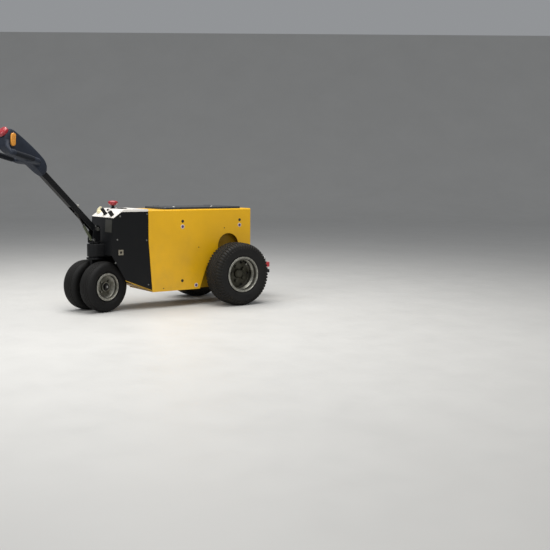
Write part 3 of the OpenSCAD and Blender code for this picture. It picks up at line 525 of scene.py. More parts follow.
def plastic(name, colour, rough, sheen):
    """Moulded plastic or rubber: cloudy in tone and roughness, with a fine leather grain."""
    f = Finish(name, Specular_IOR_Level=sheen)
    grain = f.cells(900.0, 0)
    cloud = f.levels(f.noise(18.0, 4.0))
    f.set(Base_Color=f.mix(cloud, shade(linear(colour), 0.85), shade(linear(colour), 1.15)),
          Roughness=f.levels(cloud, 0.0, 1.0, rough - 0.05, rough + 0.12))
    f.bump(grain, 0.22, 0.0004)


def gloss(name, colour, rough):
    """Shiny coloured plastic under a clear coat."""
    f = Finish(name, Coat_Weight=0.3, Coat_Roughness=0.08)
    cloud = f.levels(f.noise(30.0))
    f.set(Base_Color=f.mix(cloud, shade(colour, 0.88), shade(colour, 1.08)),
          Roughness=f.levels(cloud, 0.0, 1.0, rough, rough + 0.1))
    f.bump(f.noise(300.0), 0.03, 0.0004)


def face(name, scale, first, second, rough, **constants):
    """A flat face, cloudy between two colours."""
    f = Finish(name, Roughness=rough, **constants)
    f.set(Base_Color=f.between(f.noise(scale), first, second))


def make_finishes(look):
    """Every material of the tug, from the colours in the panel."""
    dust = (128, 120, 104)
    paint("yellow_paint", look.yellow, (150, 118, 62), 0.36, 0.05, 0.30, 0.15)
    # the frame's paint is the body yellow darkened to 0.62 as painted shade for the walls inside the body,
    # plus its dust
    paint("frame_paint", shade(look.yellow, 0.62), (84, 66, 40), 0.45, 0.05, 0.6)
    paint("black_paint", look.black, (46, 45, 43), 0.42, 0.06, 0.14, 0.0, 0.2)
    paint("white_plate", look.white, (150, 140, 122), 0.34, 0.03, 0.22)
    paint("lid_paint", linear((44, 47, 52)), (110, 106, 98), 0.26, 0.04, 0.25, 0.2)
    paint("axle_paint", linear((52, 56, 62)), dust, 0.5, 0.1, 0.6)
    paint("red_paint", shade(look.red, 1.9), dust, 0.36, 0.06, 0.2)
    paint("spring_paint", linear((72, 77, 60)), (96, 92, 78), 0.4, 0.03, 0.3, 0.0, 0.3)
    # the last number of each rim is how dark the painted shade in its dish gets
    rim_zinc("drive_rim", 0.111, 0.08, 0.95)
    rim_zinc("steer_rim", 0.083, 0.058, 0.7)
    metal("bright_steel", 1.0, (160.0, 3.0), (168, 168, 164), (206, 206, 204), 0.22, 0.42, 0.08, 0.0004)
    metal("dull_zinc", 0.7, (140.0, 3.0), (92, 92, 90), (128, 128, 125), 0.4, 0.55)
    metal("dark_steel", 0.8, (120.0, 3.0), (38, 37, 38), (66, 64, 62), 0.34, 0.5)
    metal("grey_plate", 0.65, (60.0, 4.0, 0.6), (60, 60, 56), (86, 86, 80), 0.38, 0.55,
          stretch=(1.0, 1.0, 26.0))
    tyre("tyre_rubber", 0.25, (29, 28, 27), (48, 45, 38))
    tyre("steer_rubber", 0.18, (24, 24, 24), (38, 36, 33))
    plastic("black_plastic", (15, 16, 18), 0.46, 0.3)
    plastic("head_plastic", (37, 42, 52), 0.62, 0.16)
    plastic("grip_rubber", (26, 29, 35), 0.72, 0.16)
    plastic("key_plastic", (232, 224, 188), 0.4, 0.4)
    plastic("battery_case", (40, 42, 44), 0.55, 0.3)
    plastic("seal_rubber", (14, 14, 14), 0.7, 0.3)
    gloss("red_plastic", look.red, 0.3)
    gloss("throttle_plastic", look.amber, 0.34)
    gloss("lamp_red", linear((128, 16, 16)), 0.12)
    face("pale_plate", 60.0, (118, 112, 98), (142, 136, 122), 0.5, Metallic=0.3)
    face("glass_face", 40.0, (38, 44, 42), (58, 64, 60), 0.2, Coat_Weight=1.0, Coat_Roughness=0.03)
    face("label_white", 50.0, (196, 184, 174), (220, 208, 198), 0.42)
    face("label_dark", 90.0, (62, 44, 98), (96, 66, 108), 0.45)

    f = Finish("floor_finish")
    cloud = f.levels(f.noise(1.1, 6.0, 0.6))
    f.set(Base_Color=f.mix(cloud, shade(look.floor, 0.97), shade(look.floor, 1.02)),
          Roughness=f.levels(f.noise(5.0, 5.0), 0.3, 0.7, 0.42, 0.55))
    f.bump(f.noise(180.0), 0.05)


CAD_FINISH = {
    "frame_paint": ("chassis_frame",),
    "yellow_paint": ("side_cover_left", "side_cover_right", "rear_panel", "top_plate"),
    "black_paint": ("nose_shell", "steering_head", "tow_bracket", "tow_jaw", "steering_fork",
                    "tiller_clevis", "tiller_arm", "lid_hinge", "drive_motor"),
    "white_plate": ("instrument_plate",),
    "lid_paint": ("battery_lid",),
    "grey_plate": ("front_plate",),
    "pale_plate": ("eye_plate",),
    "axle_paint": ("drive_axle",),
    "battery_case": ("battery_block",),
    "bright_steel": ("tiller_pin", "spring_pin", "tow_pin"),
    "dark_steel": ("spring_rod", "front_axle"),
    "steer_rim": ("front_rim_left", "front_rim_right"),
    "drive_rim": ("rear_rim_left", "rear_rim_right"),
    "tyre_rubber": ("front_tyre_left", "front_tyre_right", "rear_tyre_left", "rear_tyre_right"),
    "spring_paint": ("spring_tube_body",),
    "black_plastic": ("battery_gauge", "hour_meter", "charge_flap"),
    "head_plastic": ("tiller_head",),
    "key_plastic": ("key_switch",),
    "red_plastic": ("stop_button", "reverse_button"),
    "red_paint": ("tow_jaw_top",),
    "throttle_plastic": ("throttle",),
    "lamp_red": ("tail_light_left", "tail_light_right"),
}


# What a user may change
def colour_property(name, description, default):
    """A colour for the panel, its default given in sRGB."""
    return FloatVectorProperty(name=name, description=description, subtype="COLOR", size=3,
                               min=0.0, max=1.0, default=tuple(linear(default)))


def power_property(name, description, default):
    """The power of a light for the panel."""
    return FloatProperty(name=name, description=description, default=default, min=0.0, unit="POWER")


class TugLook(bpy.types.PropertyGroup):
    """Colours of the tug and its floor."""
    yellow: colour_property("Yellow", "Paint of the body", (224, 171, 6))
    black: colour_property("Black", "Paint of the nose and steering", (13, 14, 16))
    white: colour_property("White", "Paint of the instrument plate", (224, 220, 214))
    red: colour_property("Red", "Stop button, belly button and coupling", (146, 20, 32))
    amber: colour_property("Amber", "Throttle paddles", (212, 142, 48))
    floor: colour_property("Floor", "Studio floor", (200, 199, 196))


class TugTread(bpy.types.PropertyGroup):
    """Sizes of the tyres' tread."""
    depth: FloatProperty(name="Groove depth", description="Depth of the drive tyres' grooves",
                         default=0.0065, min=0.001, max=0.012, unit="LENGTH")
    lugs: IntProperty(name="Lugs", description="Blocks round a drive tyre", default=60, min=30, max=72)
    rib_depth: FloatProperty(name="Rib groove depth", description="Depth of the steered tyres' grooves",
                             default=0.0030, min=0.0005, max=0.006, unit="LENGTH")


class TugLight(bpy.types.PropertyGroup):
    """Strength of the studio lights."""
    top: power_property("Overhead", "Power of the overhead light", 190.0)
    key: power_property("Key", "Power of the light at the front", 50.0)
    fill: power_property("Fill", "Power of the light beside the camera", 30.0)
    world: FloatProperty(name="Surroundings", description="Brightness of the surroundings",
                         default=0.31, min=0.0)


class TUG_OT_finishes(bpy.types.Operator):
    """Gives every CAD node its finish"""
    bl_idname = "tug.finishes"
    bl_label = "Finishes"

    def execute(self, context):
        make_finishes(context.scene.tug_look)
        done = set()
        for finish, nodes in CAD_FINISH.items():
            for node in nodes:
                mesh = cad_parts[node].data
                mesh.materials.clear()
                mesh.materials.append(FINISHES[finish])
                done.add(node)
        missing = set(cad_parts) - done
        if missing:
            raise RuntimeError(f"no finish for {sorted(missing)}")
        return {"FINISHED"}


# Studio: the camera fitted to the photograph, as turns in degrees, a place in metres from the
# floor under the drive axle's middle, and a focal length as a share of the picture's width
CAMERA_YAW, CAMERA_PITCH, CAMERA_ROLL = (math.radians(v) for v in (53.8146, 6.3996, 0.4203))
CAMERA_AT = np.array([3.16362, 5.00575, 0.8328])
FOCAL_SHARE = 878.97 / 550
SENSOR = 36.0
# The floor's two directions, away from the camera and across its view
FLOOR_AWAY, FLOOR_ACROSS = np.array([[-0.5904, -0.8071, 0.0], [-0.8071, 0.5904, 0.0]])
# name, its power in the panel, width and depth, place, what it points at, colour
LIGHTS = (("overhead_light", "top", (4.5, 3.0), (0.2, 0.2, 3.4), (0.0, 0.0, 0.3), (1.0, 0.99, 0.97)),
          ("front_light", "key", (1.8, 1.8), (3.4, 0.6, 2.3), (0.2, 0.0, 0.4), (1.0, 1.0, 1.0)),
          ("camera_light", "fill", (2.6, 2.0), (1.0, 5.2, 2.6), (0.0, 0.0, 0.35), (1.0, 0.985, 0.96)))


def link_turned(name, data, at, axes):
    """Links a light or camera at a place, with its own x, y and z along three vectors."""
    item = bpy.data.objects.new(name, data)
    item.matrix_world = Matrix.Translation(at) @ Matrix(np.stack(axes, 1).tolist()).to_4x4()
    bpy.context.scene.collection.objects.link(item)
    return item


class TUG_OT_stage(bpy.types.Operator):
    """Sets up the floor, the lights and the camera"""
    bl_idname = "tug.stage"
    bl_label = "Stage"

    def execute(self, context):
        scene = context.scene
        scene.view_settings.view_transform = "Standard"
        level = np.array([-math.cos(CAMERA_YAW), -math.sin(CAMERA_YAW), 0.0])
        right = np.array([-math.sin(CAMERA_YAW), math.cos(CAMERA_YAW), 0.0])
        upright = np.array(UP)
        self.make_floor(scene)
        for name, power, size, at, to, colour in LIGHTS:
            data = bpy.data.lights.new(name, "AREA")
            data.shape, data.size, data.size_y = "RECTANGLE", *size
            data.energy, data.color = getattr(scene.tug_light, power), colour
            a, u, v = basis(np.array(at) - np.array(to))
            link_turned(name, data, at, (-v, u, a))
        world = bpy.data.worlds.new("studio")
        world.use_nodes = True
        background = world.node_tree.nodes["Background"]
        background.inputs["Color"].default_value = (0.93, 0.96, 1.0, 1.0)
        background.inputs["Strength"].default_value = scene.tug_light.world
        scene.world = world

        ahead = level * math.cos(CAMERA_PITCH) - upright * math.sin(CAMERA_PITCH)
        up = level * math.sin(CAMERA_PITCH) + upright * math.cos(CAMERA_PITCH)
        image_x = math.cos(CAMERA_ROLL) * right + math.sin(CAMERA_ROLL) * up
        image_y = -math.sin(CAMERA_ROLL) * right + math.cos(CAMERA_ROLL) * up
        data = bpy.data.cameras.new("camera")
        data.sensor_width, data.sensor_fit = SENSOR, "HORIZONTAL"
        data.lens = FOCAL_SHARE * SENSOR
        data.clip_start, data.clip_end = 0.05, 100.0
        scene.camera = link_turned("camera", data, CAMERA_AT + [AXLE_X, 0, 0],
                                   (image_x, image_y, -ahead))
        return {"FINISHED"}

    def make_floor(self, scene):
        """A floor that is flat for 17.1 m and then turns up: its rise grows as the square of
        the distance past there."""
        pace, flat, start = 1.9, 9.0, 6.5
        t = np.linspace(0, 1, 49)
        run = np.where(t < 0.7, t / 0.7 * flat, flat + (t - 0.7) / 0.3 * 4.0)
        rise = 0.286 * np.maximum(run - flat, 0.0) ** 2
        points = ((run * pace - start)[:, None, None] * FLOOR_AWAY
                  + rise[:, None, None] * np.array(UP)
                  + np.linspace(-11, 11, 41)[None, :, None] * FLOOR_ACROSS)
        rows, cols = points.shape[:2]
        base = np.arange(rows * cols).reshape(rows, cols)
        faces = np.stack([base[:-1, :-1], base[:-1, 1:], base[1:, 1:], base[1:, :-1]], -1)
        mesh = bpy.data.meshes.new("studio_floor")
        mesh.from_pydata(points.reshape(-1, 3).tolist(), [], faces.reshape(-1, 4).tolist())
        mesh.shade_smooth()
        mesh.materials.append(FINISHES["floor_finish"])
        floor = bpy.data.objects.new("studio_floor", mesh)
        scene.collection.objects.link(floor)


# Tyres: sections from bead to crown as (half width, radius) in mm
DRIVE_SECTION = [(66.2, 105.8), (66.4, 112), (67.6, 117), (73, 124), (78.5, 136), (81.6, 150),
                 (82.3, 164), (81.2, 176), (77.5, 187), (70, 195.2), (60, 199.3), (44, 201.6),
                 (22, 202.7), (0, 203)]
STEER_SECTION = [(33.4, 76.2), (33.6, 83), (35, 88.5), (42, 95), (50.5, 105), (54.6, 117),
                 (54.8, 128), (51.5, 138.5), (44.5, 146.5), (34, 151.5), (20, 154.2), (0, 155)]
# How far the drive tyre's two zigzag grooves, its tread's edge and the line on its sidewall lie
# from the crown, in mm along the section
INNER_ZIG, OUTER_ZIG, TREAD_EDGE, WALL_LINE = 17, 45, 103, 118


def ease(t):
    """0 to 1 as t goes from 0 to 1, with flat ends."""
    t = np.clip(t, 0, 1)
    return t * t * (3 - 2 * t)


def groove(distance, width, edge=1.1):
    """How deep in a groove a point is: 1 in it and 0 outside, with smooth walls."""
    return ease((width / 2 + edge - np.abs(distance)) / (2 * edge))


def tyre_line(half, count):
    """A tyre's section, from the bead on one side over the crown to the other: rows of (width,
    radius, length along the section from the crown) in mm, closer together under the tread."""
    side = np.asarray(half, float)
    line = smooth_line(np.vstack([side, (side * [-1, 1])[-2::-1]]), 600)
    steps = np.linalg.norm(np.diff(line, axis=0), axis=1)
    run = np.concatenate([[0], np.cumsum(steps)])
    run -= run[-1] / 2
    near_crown = line[:, 1].max() - line[:, 1] < 34
    pace = np.concatenate([[0], np.cumsum(np.where(near_crown, 1.0, 0.42)[1:] * steps)])
    at = np.interp(np.linspace(0, pace[-1], count), pace, run)
    return np.stack([np.interp(at, run, line[:, 0]), np.interp(at, run, line[:, 1]), at], -1)


def drive_tread(lugs):
    """Tread of a drive tyre: two zigzag grooves, slanted cuts between them and wide slots over
    the shoulders, all repeated once for each lug."""
    def deep(angle, along):
        """Depth 0 to 1 at an angle and a length from the crown."""
        turns = angle * lugs / (2 * np.pi)
        pitch = 2 * np.pi * DRIVE_R / lugs
        saw = np.abs((turns % 1.0) - 0.5) * 4 - 1
        size = np.abs(along)
        side = np.sign(along)

        def cut(shift, lean, width, start=0.0):
            """A cut across the tread, shifted round and leaning from a start."""
            where = (turns + shift + lean * (size - start) * side / pitch) % 1.0 - 0.5
            return groove(where * pitch, width)

        zig = groove(size - INNER_ZIG - 3.5 * saw * side, 5.0)
        zag = groove(size - OUTER_ZIG - 4.0 * saw, 5.5)
        centre = cut(0.0, 0.55, 3.0) * (size < INNER_ZIG)
        middle_row = cut(0.33, 0.45, 4.2) * (size >= INNER_ZIG) * (size < OUTER_ZIG)
        shoulder = cut(0.5, 0.16, 9.0, 75.0) * (size >= OUTER_ZIG)
        tread = np.maximum.reduce([zig, zag, centre * 0.6, middle_row, shoulder])
        return tread * ease((TREAD_EDGE - size) / 9) + groove(size - WALL_LINE, 3.0) * 0.14
    return deep


def steer_tread(angle, along):
    """Tread of a steered tyre: five round grooves, fine sipes beside the outer ones, and a
    shallow line on each sidewall."""
    size = np.abs(along) + 0 * angle
    ribs = np.maximum.reduce([groove(size - k, 3.4, 1.4) for k in (0.0, 14.0, 28.0)])
    sipes = groove(((angle * 96 / (2 * np.pi)) % 1.0 - 0.5) * 10.1, 1.4) * (size > 33) * (size < 46)
    return np.maximum(ribs, sipes * 0.35) + groove(size - 74, 3.0) * 0.25


def make_tyre(name, place, centre, side, line, tread, depth, around, finish, body, node):
    """A tyre's surface: round the axle by an angle and over its section, each point let in along
    the section's normal by the groove's depth there, and a flat inner band that closes it."""
    angle = turn(around)
    deep = tread(angle[:, None], line[None, :, 2])
    way = np.gradient(line[:, :2], axis=0)
    way /= np.linalg.norm(way, axis=1)[:, None]
    out = np.stack([way[:, 1], -way[:, 0]], -1)
    if out[len(line) // 2, 1] < 0:
        out = -out
    width, radius = (line[None, :, k] - out[None, :, k] * deep * depth / MM for k in (0, 1))
    a, u, v = basis((0, side, 0))
    grid = (np.asarray(centre) + width[..., None] * a
            + radius[..., None] * (np.cos(angle)[:, None, None] * u
                                   + np.sin(angle)[:, None, None] * v))
    shell = Shell(place).add(np.swapaxes(grid, 0, 1), loop=True, tone=(1.0 - deep).T)
    make_piece(name, shell, [finish], body, [node], 40)


class TUG_OT_drive_tyres(bpy.types.Operator):
    """Makes the two drive tyres with their blocks"""
    bl_idname = "tug.drive_tyres"
    bl_label = "Drive tyres"

    def execute(self, context):
        tread = context.scene.tug_tread
        line = tyre_line(DRIVE_SECTION, 84)
        for side, name in SIDES:
            make_tyre(f"drive_tyre_{name}", row, (0, side * DRIVE_TRACK, DRIVE_R), side, line,
                      drive_tread(tread.lugs), tread.depth, tread.lugs * 16, "tyre_rubber",
                      f"drive_wheel_{name}", f"rear_tyre_{name}")
        return {"FINISHED"}


class TUG_OT_steer_tyres(bpy.types.Operator):
    """Makes the two ribbed tyres under the tiller"""
    bl_idname = "tug.steer_tyres"
    bl_label = "Steered tyres"

    def execute(self, context):
        line = tyre_line(STEER_SECTION, 96)
        for side, name in SIDES:
            make_tyre(f"steer_tyre_{name}", steered, (0, side * TWIN_HALF, FRONT_R), side, line,
                      steer_tread, context.scene.tug_tread.rib_depth, 384, "steer_rubber",
                      "twin_wheels", f"front_tyre_{name}")
        return {"FINISHED"}


# Places (s, z) of what is fixed to the covers and the nose
COVER_BOLTS = [(345, 546), (-89, 546), (349, 167)]
COVER_RIVETS = [(226, 376), (30, 496), (485, 126)]
COVER_DOTS = [(345, 512), (-89, 512), (246, 132)]
NOSE_BOLTS = [(778, 585), (798, 444), (812, 304), (595, 596), (599, 434), (590, 157)]
STRIP_RISE = 72 / 176
STRIP_ENDS = [(668, 119 + 100 * STRIP_RISE), (744, 119 + 176 * STRIP_RISE)]


class TUG_OT_fixings(bpy.types.Operator):
    """Makes the covers' and nose's screws, rivets, blank round stickers and yellow strip"""
    bl_idname = "tug.fixings"
    bl_label = "Fixings"

    def execute(self, context):
        screws = Shell(row)
        for side, _ in SIDES:
            out = (0, side, 0)
            for s, z in COVER_BOLTS:
                screws.screw((s, side * SIDE_Y, z), out, 7.5, 3.6)
                screws.turned([(0, 9.5), (0.9, 9.2)], (s, side * SIDE_Y, z), out, 28)
            for s, z in COVER_RIVETS:
                screws.screw((s, side * SIDE_Y, z), out, 3.6, 1.2, socket=False)
            for s, z in NOSE_BOLTS:
                screws.screw((s, side * NOSE_Y, z), out, 5.0, 2.6, 1)
        make_piece("panel_screws", screws, ["dark_steel", "dull_zinc"], "chassis")
        dots = Shell(row)
        for s, z in COVER_DOTS:
            dots.turned([(-0.5, 13.5), (0.4, 13.5), (0.5, 13.2)], (s, SIDE_Y, z), LEFT, 40)
            dots.turned([(0.3, 9.4), (0.7, 9.4)], (s, SIDE_Y, z), LEFT, 8, 1)
        make_piece("blank_stickers", dots, ["label_white", "label_dark"], "chassis")
        strip = Shell(row)
        for side, _ in SIDES:
            section = [(side * y, dz) for y, dz in ((147, -3), (NOSE_Y, -3), (NOSE_Y, 0), (147, 0))]
            strip.add([[(s, y, z + dz) for y, dz in section] for s, z in STRIP_ENDS])
        make_piece("belly_strip", strip, ["yellow_paint"], "chassis")
        eye = Shell(row)
        eye.screw((KINGPIN_S - 100, NOSE_Y + 0.5, 366), LEFT, 6.5, 3.0)
        make_piece("eye_screw", eye, ["dark_steel"], "chassis")
        return {"FINISHED"}


class TUG_OT_lid(bpy.types.Operator):
    """Makes the battery lid as a folded tray with its ears and two turn locks"""
    bl_idname = "tug.lid"
    bl_label = "Battery lid"

    def execute(self, context):
        low, high, skin, fold = BODY_TOP + 0.3, BODY_TOP + 13.3, 3.0, 4.0
        front, rear, half = 462.0, -110.0, 135.0
        rows = [(skin + 6, high - skin), (skin + 3, high - skin), (skin, high - skin - 3),
                (skin, low), (0.4, low), (0, low + 0.4)]
        rows += [(fold * (1 - math.cos(a)), high - fold * (1 - math.sin(a)))
                 for a in np.linspace(0, np.pi / 2, 7)]
        rows += [(2 * fold, high)]
        lid = Shell(row)
        outline = round_box(front - rear, 2 * half, 10.0, 7)
        lid.add(layers(outline, rows) + [(front + rear) / 2, 0, 0])
        # an ear round the hinge's pin, across and up
        ear = np.vstack([arc(7, math.radians(38), math.radians(314), 22) + [-145.0, 629.0],
                         [(-133.5, 624.0), (-133.5, 633.3)]])
        for s in (rear + 90, front - 90):
            lid.plate(ear, s - 13, s + 13, 0.8, lie=ALONG)
        for s in (383.0, 101.0):
            at = (s, 112.0, high)
            lid.turned([(-0.5, 13), (1.2, 13), (1.6, 12.4)], at, UP, 32, 1)
            lid.turned([(1.0, 9), (4.6, 8.6), (5.4, 7.4)], at, UP, 28, 1)
            lid.plate(round_box(13, 2.4, 0.8, 3), 5.0, 6.2, 0.3, at, 1)
        make_piece("lid_tray", lid, ["lid_paint", "bright_steel"], "lid", ["battery_lid"])
        return {"FINISHED"}


# The console's sections: up the tiller from its pivot, underside, sides' top, crown, half width
CONSOLE = [(500, -26, 13, 15, 21), (512, -27, 20, 24, 27), (528, -28, 30, 35, 33), (560, -29, 38, 45, 38),
           (600, -32, 40, 48, 38), (650, -42, 38, 46, 38), (690, -56, 35, 42, 38), (745, -79, 29, 35, 38),
           (795, -79, 23, 28, 38), (815, -62, 21, 25, 37.5), (828, -42, 19, 23, 35), (835, -31, 18, 21, 32)]
# The shoulders' sections: to the side, share of the full thickness
SHOULDER = np.array([(20, 1), (40, 1), (60, 1), (80, 1), (98, 1), (105, 0.84), (110, 0.58), (113, 0.25)])
# A grip under its rubber: out from the bend, radius
GRIP_CORE = [(40, 13.2), (198, 13.2), (200, 15.5), (203, 17), (221, 17), (224.5, 15.6), (226, 12.5)]


class TUG_OT_tiller_head(bpy.types.Operator):
    """Makes the tiller's moulded head: console, shoulders, grips and struts grown together"""
    bl_idname = "tug.tiller_head"
    bl_label = "Tiller head"

    def execute(self, context):
        head = Shell(tilted)
        d, low, top, crown, half = smooth_line(CONSOLE, 90).T
        # eight points round each section: chamfered foot, upright sides and a narrower crown
        y = np.stack([half - 7, half, half, half * 0.58, -half * 0.58, -half, -half, 7 - half], -1)
        z = np.stack([low, low + 13, top, crown, crown, top, low + 13, low], -1)
        head.add(loft(np.stack([np.repeat(d[:, None], 8, 1), y, z], -1), 72))
        n, share = SHOULDER.T[..., None]
        middle = np.interp(n, [20, 98], [24, 47])
        reach = np.interp(n, [20, 98], [54, 24]) * share
        oval = circle(1.0, 40)
        oval = np.sign(oval) * np.abs(oval) ** 0.7
        for side, _ in SIDES:
            head.add(bent(np.stack([middle + reach * oval[:, 0], np.repeat(side * n, 40, 1),
                                    -3 + 13 * share * oval[:, 1]], -1)))
            head.add(bent(lathe(GRIP_CORE, (0, side * GRIP_Y, 0), FORWARDS, 40)))
            strut = smooth_line(np.vstack([bent([(206, side * GRIP_Y, 0), (219, side * 99, -1)]),
                                           [(801, side * 64, -82), (807, side * 40, -52),
                                            (800, side * 22, -40)]]), 36)
            head.add(sweep(strut, circle(1.0, 24) * [12.0, 9.5], up=(0.6, 0, 0.8)))
        piece = make_piece("tiller_head_moulding", head, ["head_plastic"], "tiller",
                           ["tiller_head"])
        grown = piece.modifiers.new("grown_together", "REMESH")
        grown.mode, grown.voxel_size, grown.use_smooth_shade = "VOXEL", 0.0022, True
        soft = piece.modifiers.new("soft_edges", "SMOOTH")
        soft.factor, soft.iterations = 0.5, 7

        grips = Shell(tilted)
        start, length, rib = 76, 120, 6
        h = np.linspace(start, start + length, length + 1)
        bulge = (14.6 + np.sin(np.pi * (h - start) / length)
                 + 0.35 * np.clip(np.cos(h * 2 * np.pi / rib), -0.4, 1))
        profile = [(75, 13.0), (75.5, 14.2), *zip(h, bulge), (196.8, 14.2), (197.2, 13.0)]
        for side, _ in SIDES:
            grips.add(bent(lathe(profile, (0, side * GRIP_Y, 0), FORWARDS, 36)))
        make_piece("tiller_grips", grips, ["grip_rubber"], "tiller")
        return {"FINISHED"}


class TUG_OT_controls(bpy.types.Operator):
    """Makes the throttle paddles, the belly button, and the buttons and pad on the console"""
    bl_idname = "tug.controls"
    bl_label = "Controls"

    def execute(self, context):
        paddles = Shell(tilted)
        outline = capsule((778, -36), (804, -3), 15.0, 13)
        across = np.array([8.25, -6.5])
        for side, _ in SIDES:
            paddles.plate(outline, 38.6, 50.4, 3.2, lie=ACROSS, flip=(1, side, 1), steps=6)
            for k in range(4):
                mid = np.array([786 + 5.2 * k, -26 + 6.6 * k])
                rib = capsule(mid - across, mid + across, 1.3, 5)
                paddles.plate(rib, 49.6, 51.2, 0.5, lie=ACROSS, flip=(1, side, 1))
        make_piece("throttle_paddles", paddles, ["throttle_plastic"], "tiller",
                   ["throttle"])
        button = Shell(tilted)
        button.turned([(-1, 29), (0, 31.4), (1, 32), (13, 32), (17, 30.6), (20, 27.4), (21.6, 22),
                       (22, 14), (22, 6)], (836, 0, -13), FORWARDS, 48)
        make_piece("belly_button", button, ["red_plastic"], "tiller", ["reverse_button"])
        small = Shell(tilted)
        for y, finish in ((-14, 0), (14, 1)):
            small.turned([(-4, 9), (1.4, 9), (3.2, 8.4), (4.2, 6.5)], (770, y, 31), (0.14, 0, 1), 28,
                         finish)
        on_crown = frame_in(np.asarray, (705, 0, 40.4), (0.992, 0, -0.125), LEFT, (0.125, 0, 0.992))
        small.add(on_crown(slab(round_box(54, 34, 5, 6), 0, 1.6, 0.7)), 2)
        make_piece("console_buttons", small, ["black_plastic", "key_plastic", "seal_rubber"], "tiller")
        return {"FINISHED"}


class TUG_OT_instruments(bpy.types.Operator):
    """Makes the key switch, gauge, hour meter, stop button, flap, small button and plate screws"""
    bl_idname = "tug.instruments"
    bl_label = "Instruments"

    def execute(self, context):
        key = Shell(on_slope)
        key.turned([(0, 15), (8, 15), (11, 14), (12, 12)], (40, -110, 0), UP, 36)
        key.turned([(12, 11), (16, 11), (17, 9.5)], (40, -110, 0), UP, 32)
        key.plate(capsule((44, 16), (62, 19), 10.0, 11), -111.8, -108.2, 1.0, lie=ACROSS)
        make_piece("key", key, ["key_plastic"], "chassis", ["key_switch"])
        gauge = Shell(on_slope)
        at = (28, -2, 0)
        gauge.turned([(0, 14.5), (4, 14.5), (5, 13.5), (5, 11), (42, 11), (44, 9.6)], at, UP, 40)
        gauge.turned([(43, 9.8), (45.4, 9.2), (46, 6)], at, UP, 32, 1)
        make_piece("gauge", gauge, ["black_plastic", "glass_face"], "chassis",
                   ["battery_gauge"])
        meter = Shell(on_slope)
        at = (21, 104, 0)
        meter.plate(round_box(21, 24, 4, 6), 0, 32, 1.6, at)
        meter.plate(round_box(14, 17, 2, 4), 31, 33.4, 0.8, at, 1)
        make_piece("meter", meter, ["black_plastic", "glass_face"], "chassis",
                   ["hour_meter"])
        push = Shell(on_slope)
        push.turned([(0, 8), (3, 8), (4, 7)], (68, -35, 0), UP, 28)
        push.turned([(3, 5.2), (7, 5.2), (8, 4.2)], (68, -35, 0), UP, 24)
        for y in (-138, 138):
            for rise in (12, 70):
                push.screw((rise, y, 0), UP, 4.5, 2.2, 1)
        make_piece("plate_buttons", push, ["black_plastic", "bright_steel"], "chassis")
        stop = Shell(row)
        at = (732, -40, PLATE_TOP)
        stop.turned([(0, 15), (4, 15), (5, 14), (5, 9), (22, 9), (24, 12)], at, UP, 32, 1)
        stop.turned([(20, 18), (21, 20.5), (30, 28.5), (34, 30.6), (38, 31), (42, 30), (45.5, 26),
                     (48, 20), (49.5, 12), (50, 5)], at, UP, 44)
        make_piece("stop_mushroom", stop, ["red_plastic", "black_plastic"], "chassis",
                   ["stop_button"])
        flap = Shell(row)
        at = (699.5, 12, PLATE_TOP)
        flap.plate(round_box(49, 70, 5, 6), 0, 3, 1.0, at)
        flap.plate(round_box(39, 60, 6, 6), 2, 5, 1.4, at)
        make_piece("flap", flap, ["black_plastic"], "chassis", ["charge_flap"])
        return {"FINISHED"}


class TUG_OT_wheel_trim(bpy.types.Operator):
    """Makes the drive wheels' hub plates and valves, the bearing seals and the axle's ends"""
    bl_idname = "tug.wheel_trim"
    bl_label = "Wheel trim"

    def execute(self, context):
        valve_angle = 2.2
        out = np.array([math.cos(valve_angle), 0, math.sin(valve_angle)])
        for side, name in SIDES:
            centre = np.array([0, side * DRIVE_TRACK, DRIVE_R])
            hub = Shell(row)
            hub.turned([(-24, 70), (-23, 88), (-17, 88), (-16, 70)], centre, (0, side, 0), 48)
            make_piece(f"hub_plate_{name}", hub, ["axle_paint"], f"drive_wheel_{name}")
            valve = Shell(row)
            foot = centre + out * 92 + [0, side * 8, 0]
            tip = centre + out * 78 + [0, side * 34, 0]
            valve.add(sweep(np.linspace(foot, tip, 6), circle(4.6, 14), [1.25, 1.1, 1, 1, 0.95, 0.9]))
            valve.add(sweep(np.linspace(tip, tip + (tip - foot) * 0.2, 4), circle(3.6, 12)), 1)
            make_piece(f"valve_{name}", valve, ["seal_rubber", "bright_steel"], f"drive_wheel_{name}")
        seals, ends = Shell(steered), Shell(steered)
        for side, _ in SIDES:
            seals.add(lathe([(17.6, 15), (17.6, 23.2), (20.6, 23.2), (21.4, 22), (21.4, 15)],
                            (0, side * TWIN_HALF, FRONT_R), (0, side, 0), 40), loop=True)
            ends.screw((0, side * 112, FRONT_R), (0, side, 0), 5.0, 4.5, socket=False)
        make_piece("bearing_seals", seals, ["seal_rubber"], "twin_wheels")
        make_piece("axle_ends", ends, ["bright_steel"], "steering")
        return {"FINISHED"}


class TUG_OT_tiller_trim(bpy.types.Operator):
    """Makes the tiller's clip and the clevis's bolts"""
    bl_idname = "tug.tiller_trim"
    bl_label = "Tiller trim"

    def execute(self, context):
        # the clip's middle, 132 mm ahead of the tiller's pivot and 151 mm above it
        along, _, out = np.array(slant(TILT)) @ (132, 0, 151)
        clip = Shell(tilted)
        for side, _ in SIDES:
            clip.screw((along, side * 16, out - 4), (0, side, 0), 6.5, 3.2)
        clip.plate(round_box(30, 34, 3, 4), 0, 2.4, 0.6, (along, 0, 11.0))
        make_piece("arm_clip", clip, ["bright_steel"], "tiller")
        bolts = Shell(steered)
        for side, _ in SIDES:
            bolts.screw((10, side * 25, 522), (0, side, 0), 4.0, 2.4, 1)
            for x in (24, -24):
                bolts.bolt((x, side * 26, 428), UP, 6.0, 5.0)
        make_piece("clevis_bolts", bolts, ["dark_steel", "dull_zinc"], "steering")
        return {"FINISHED"}


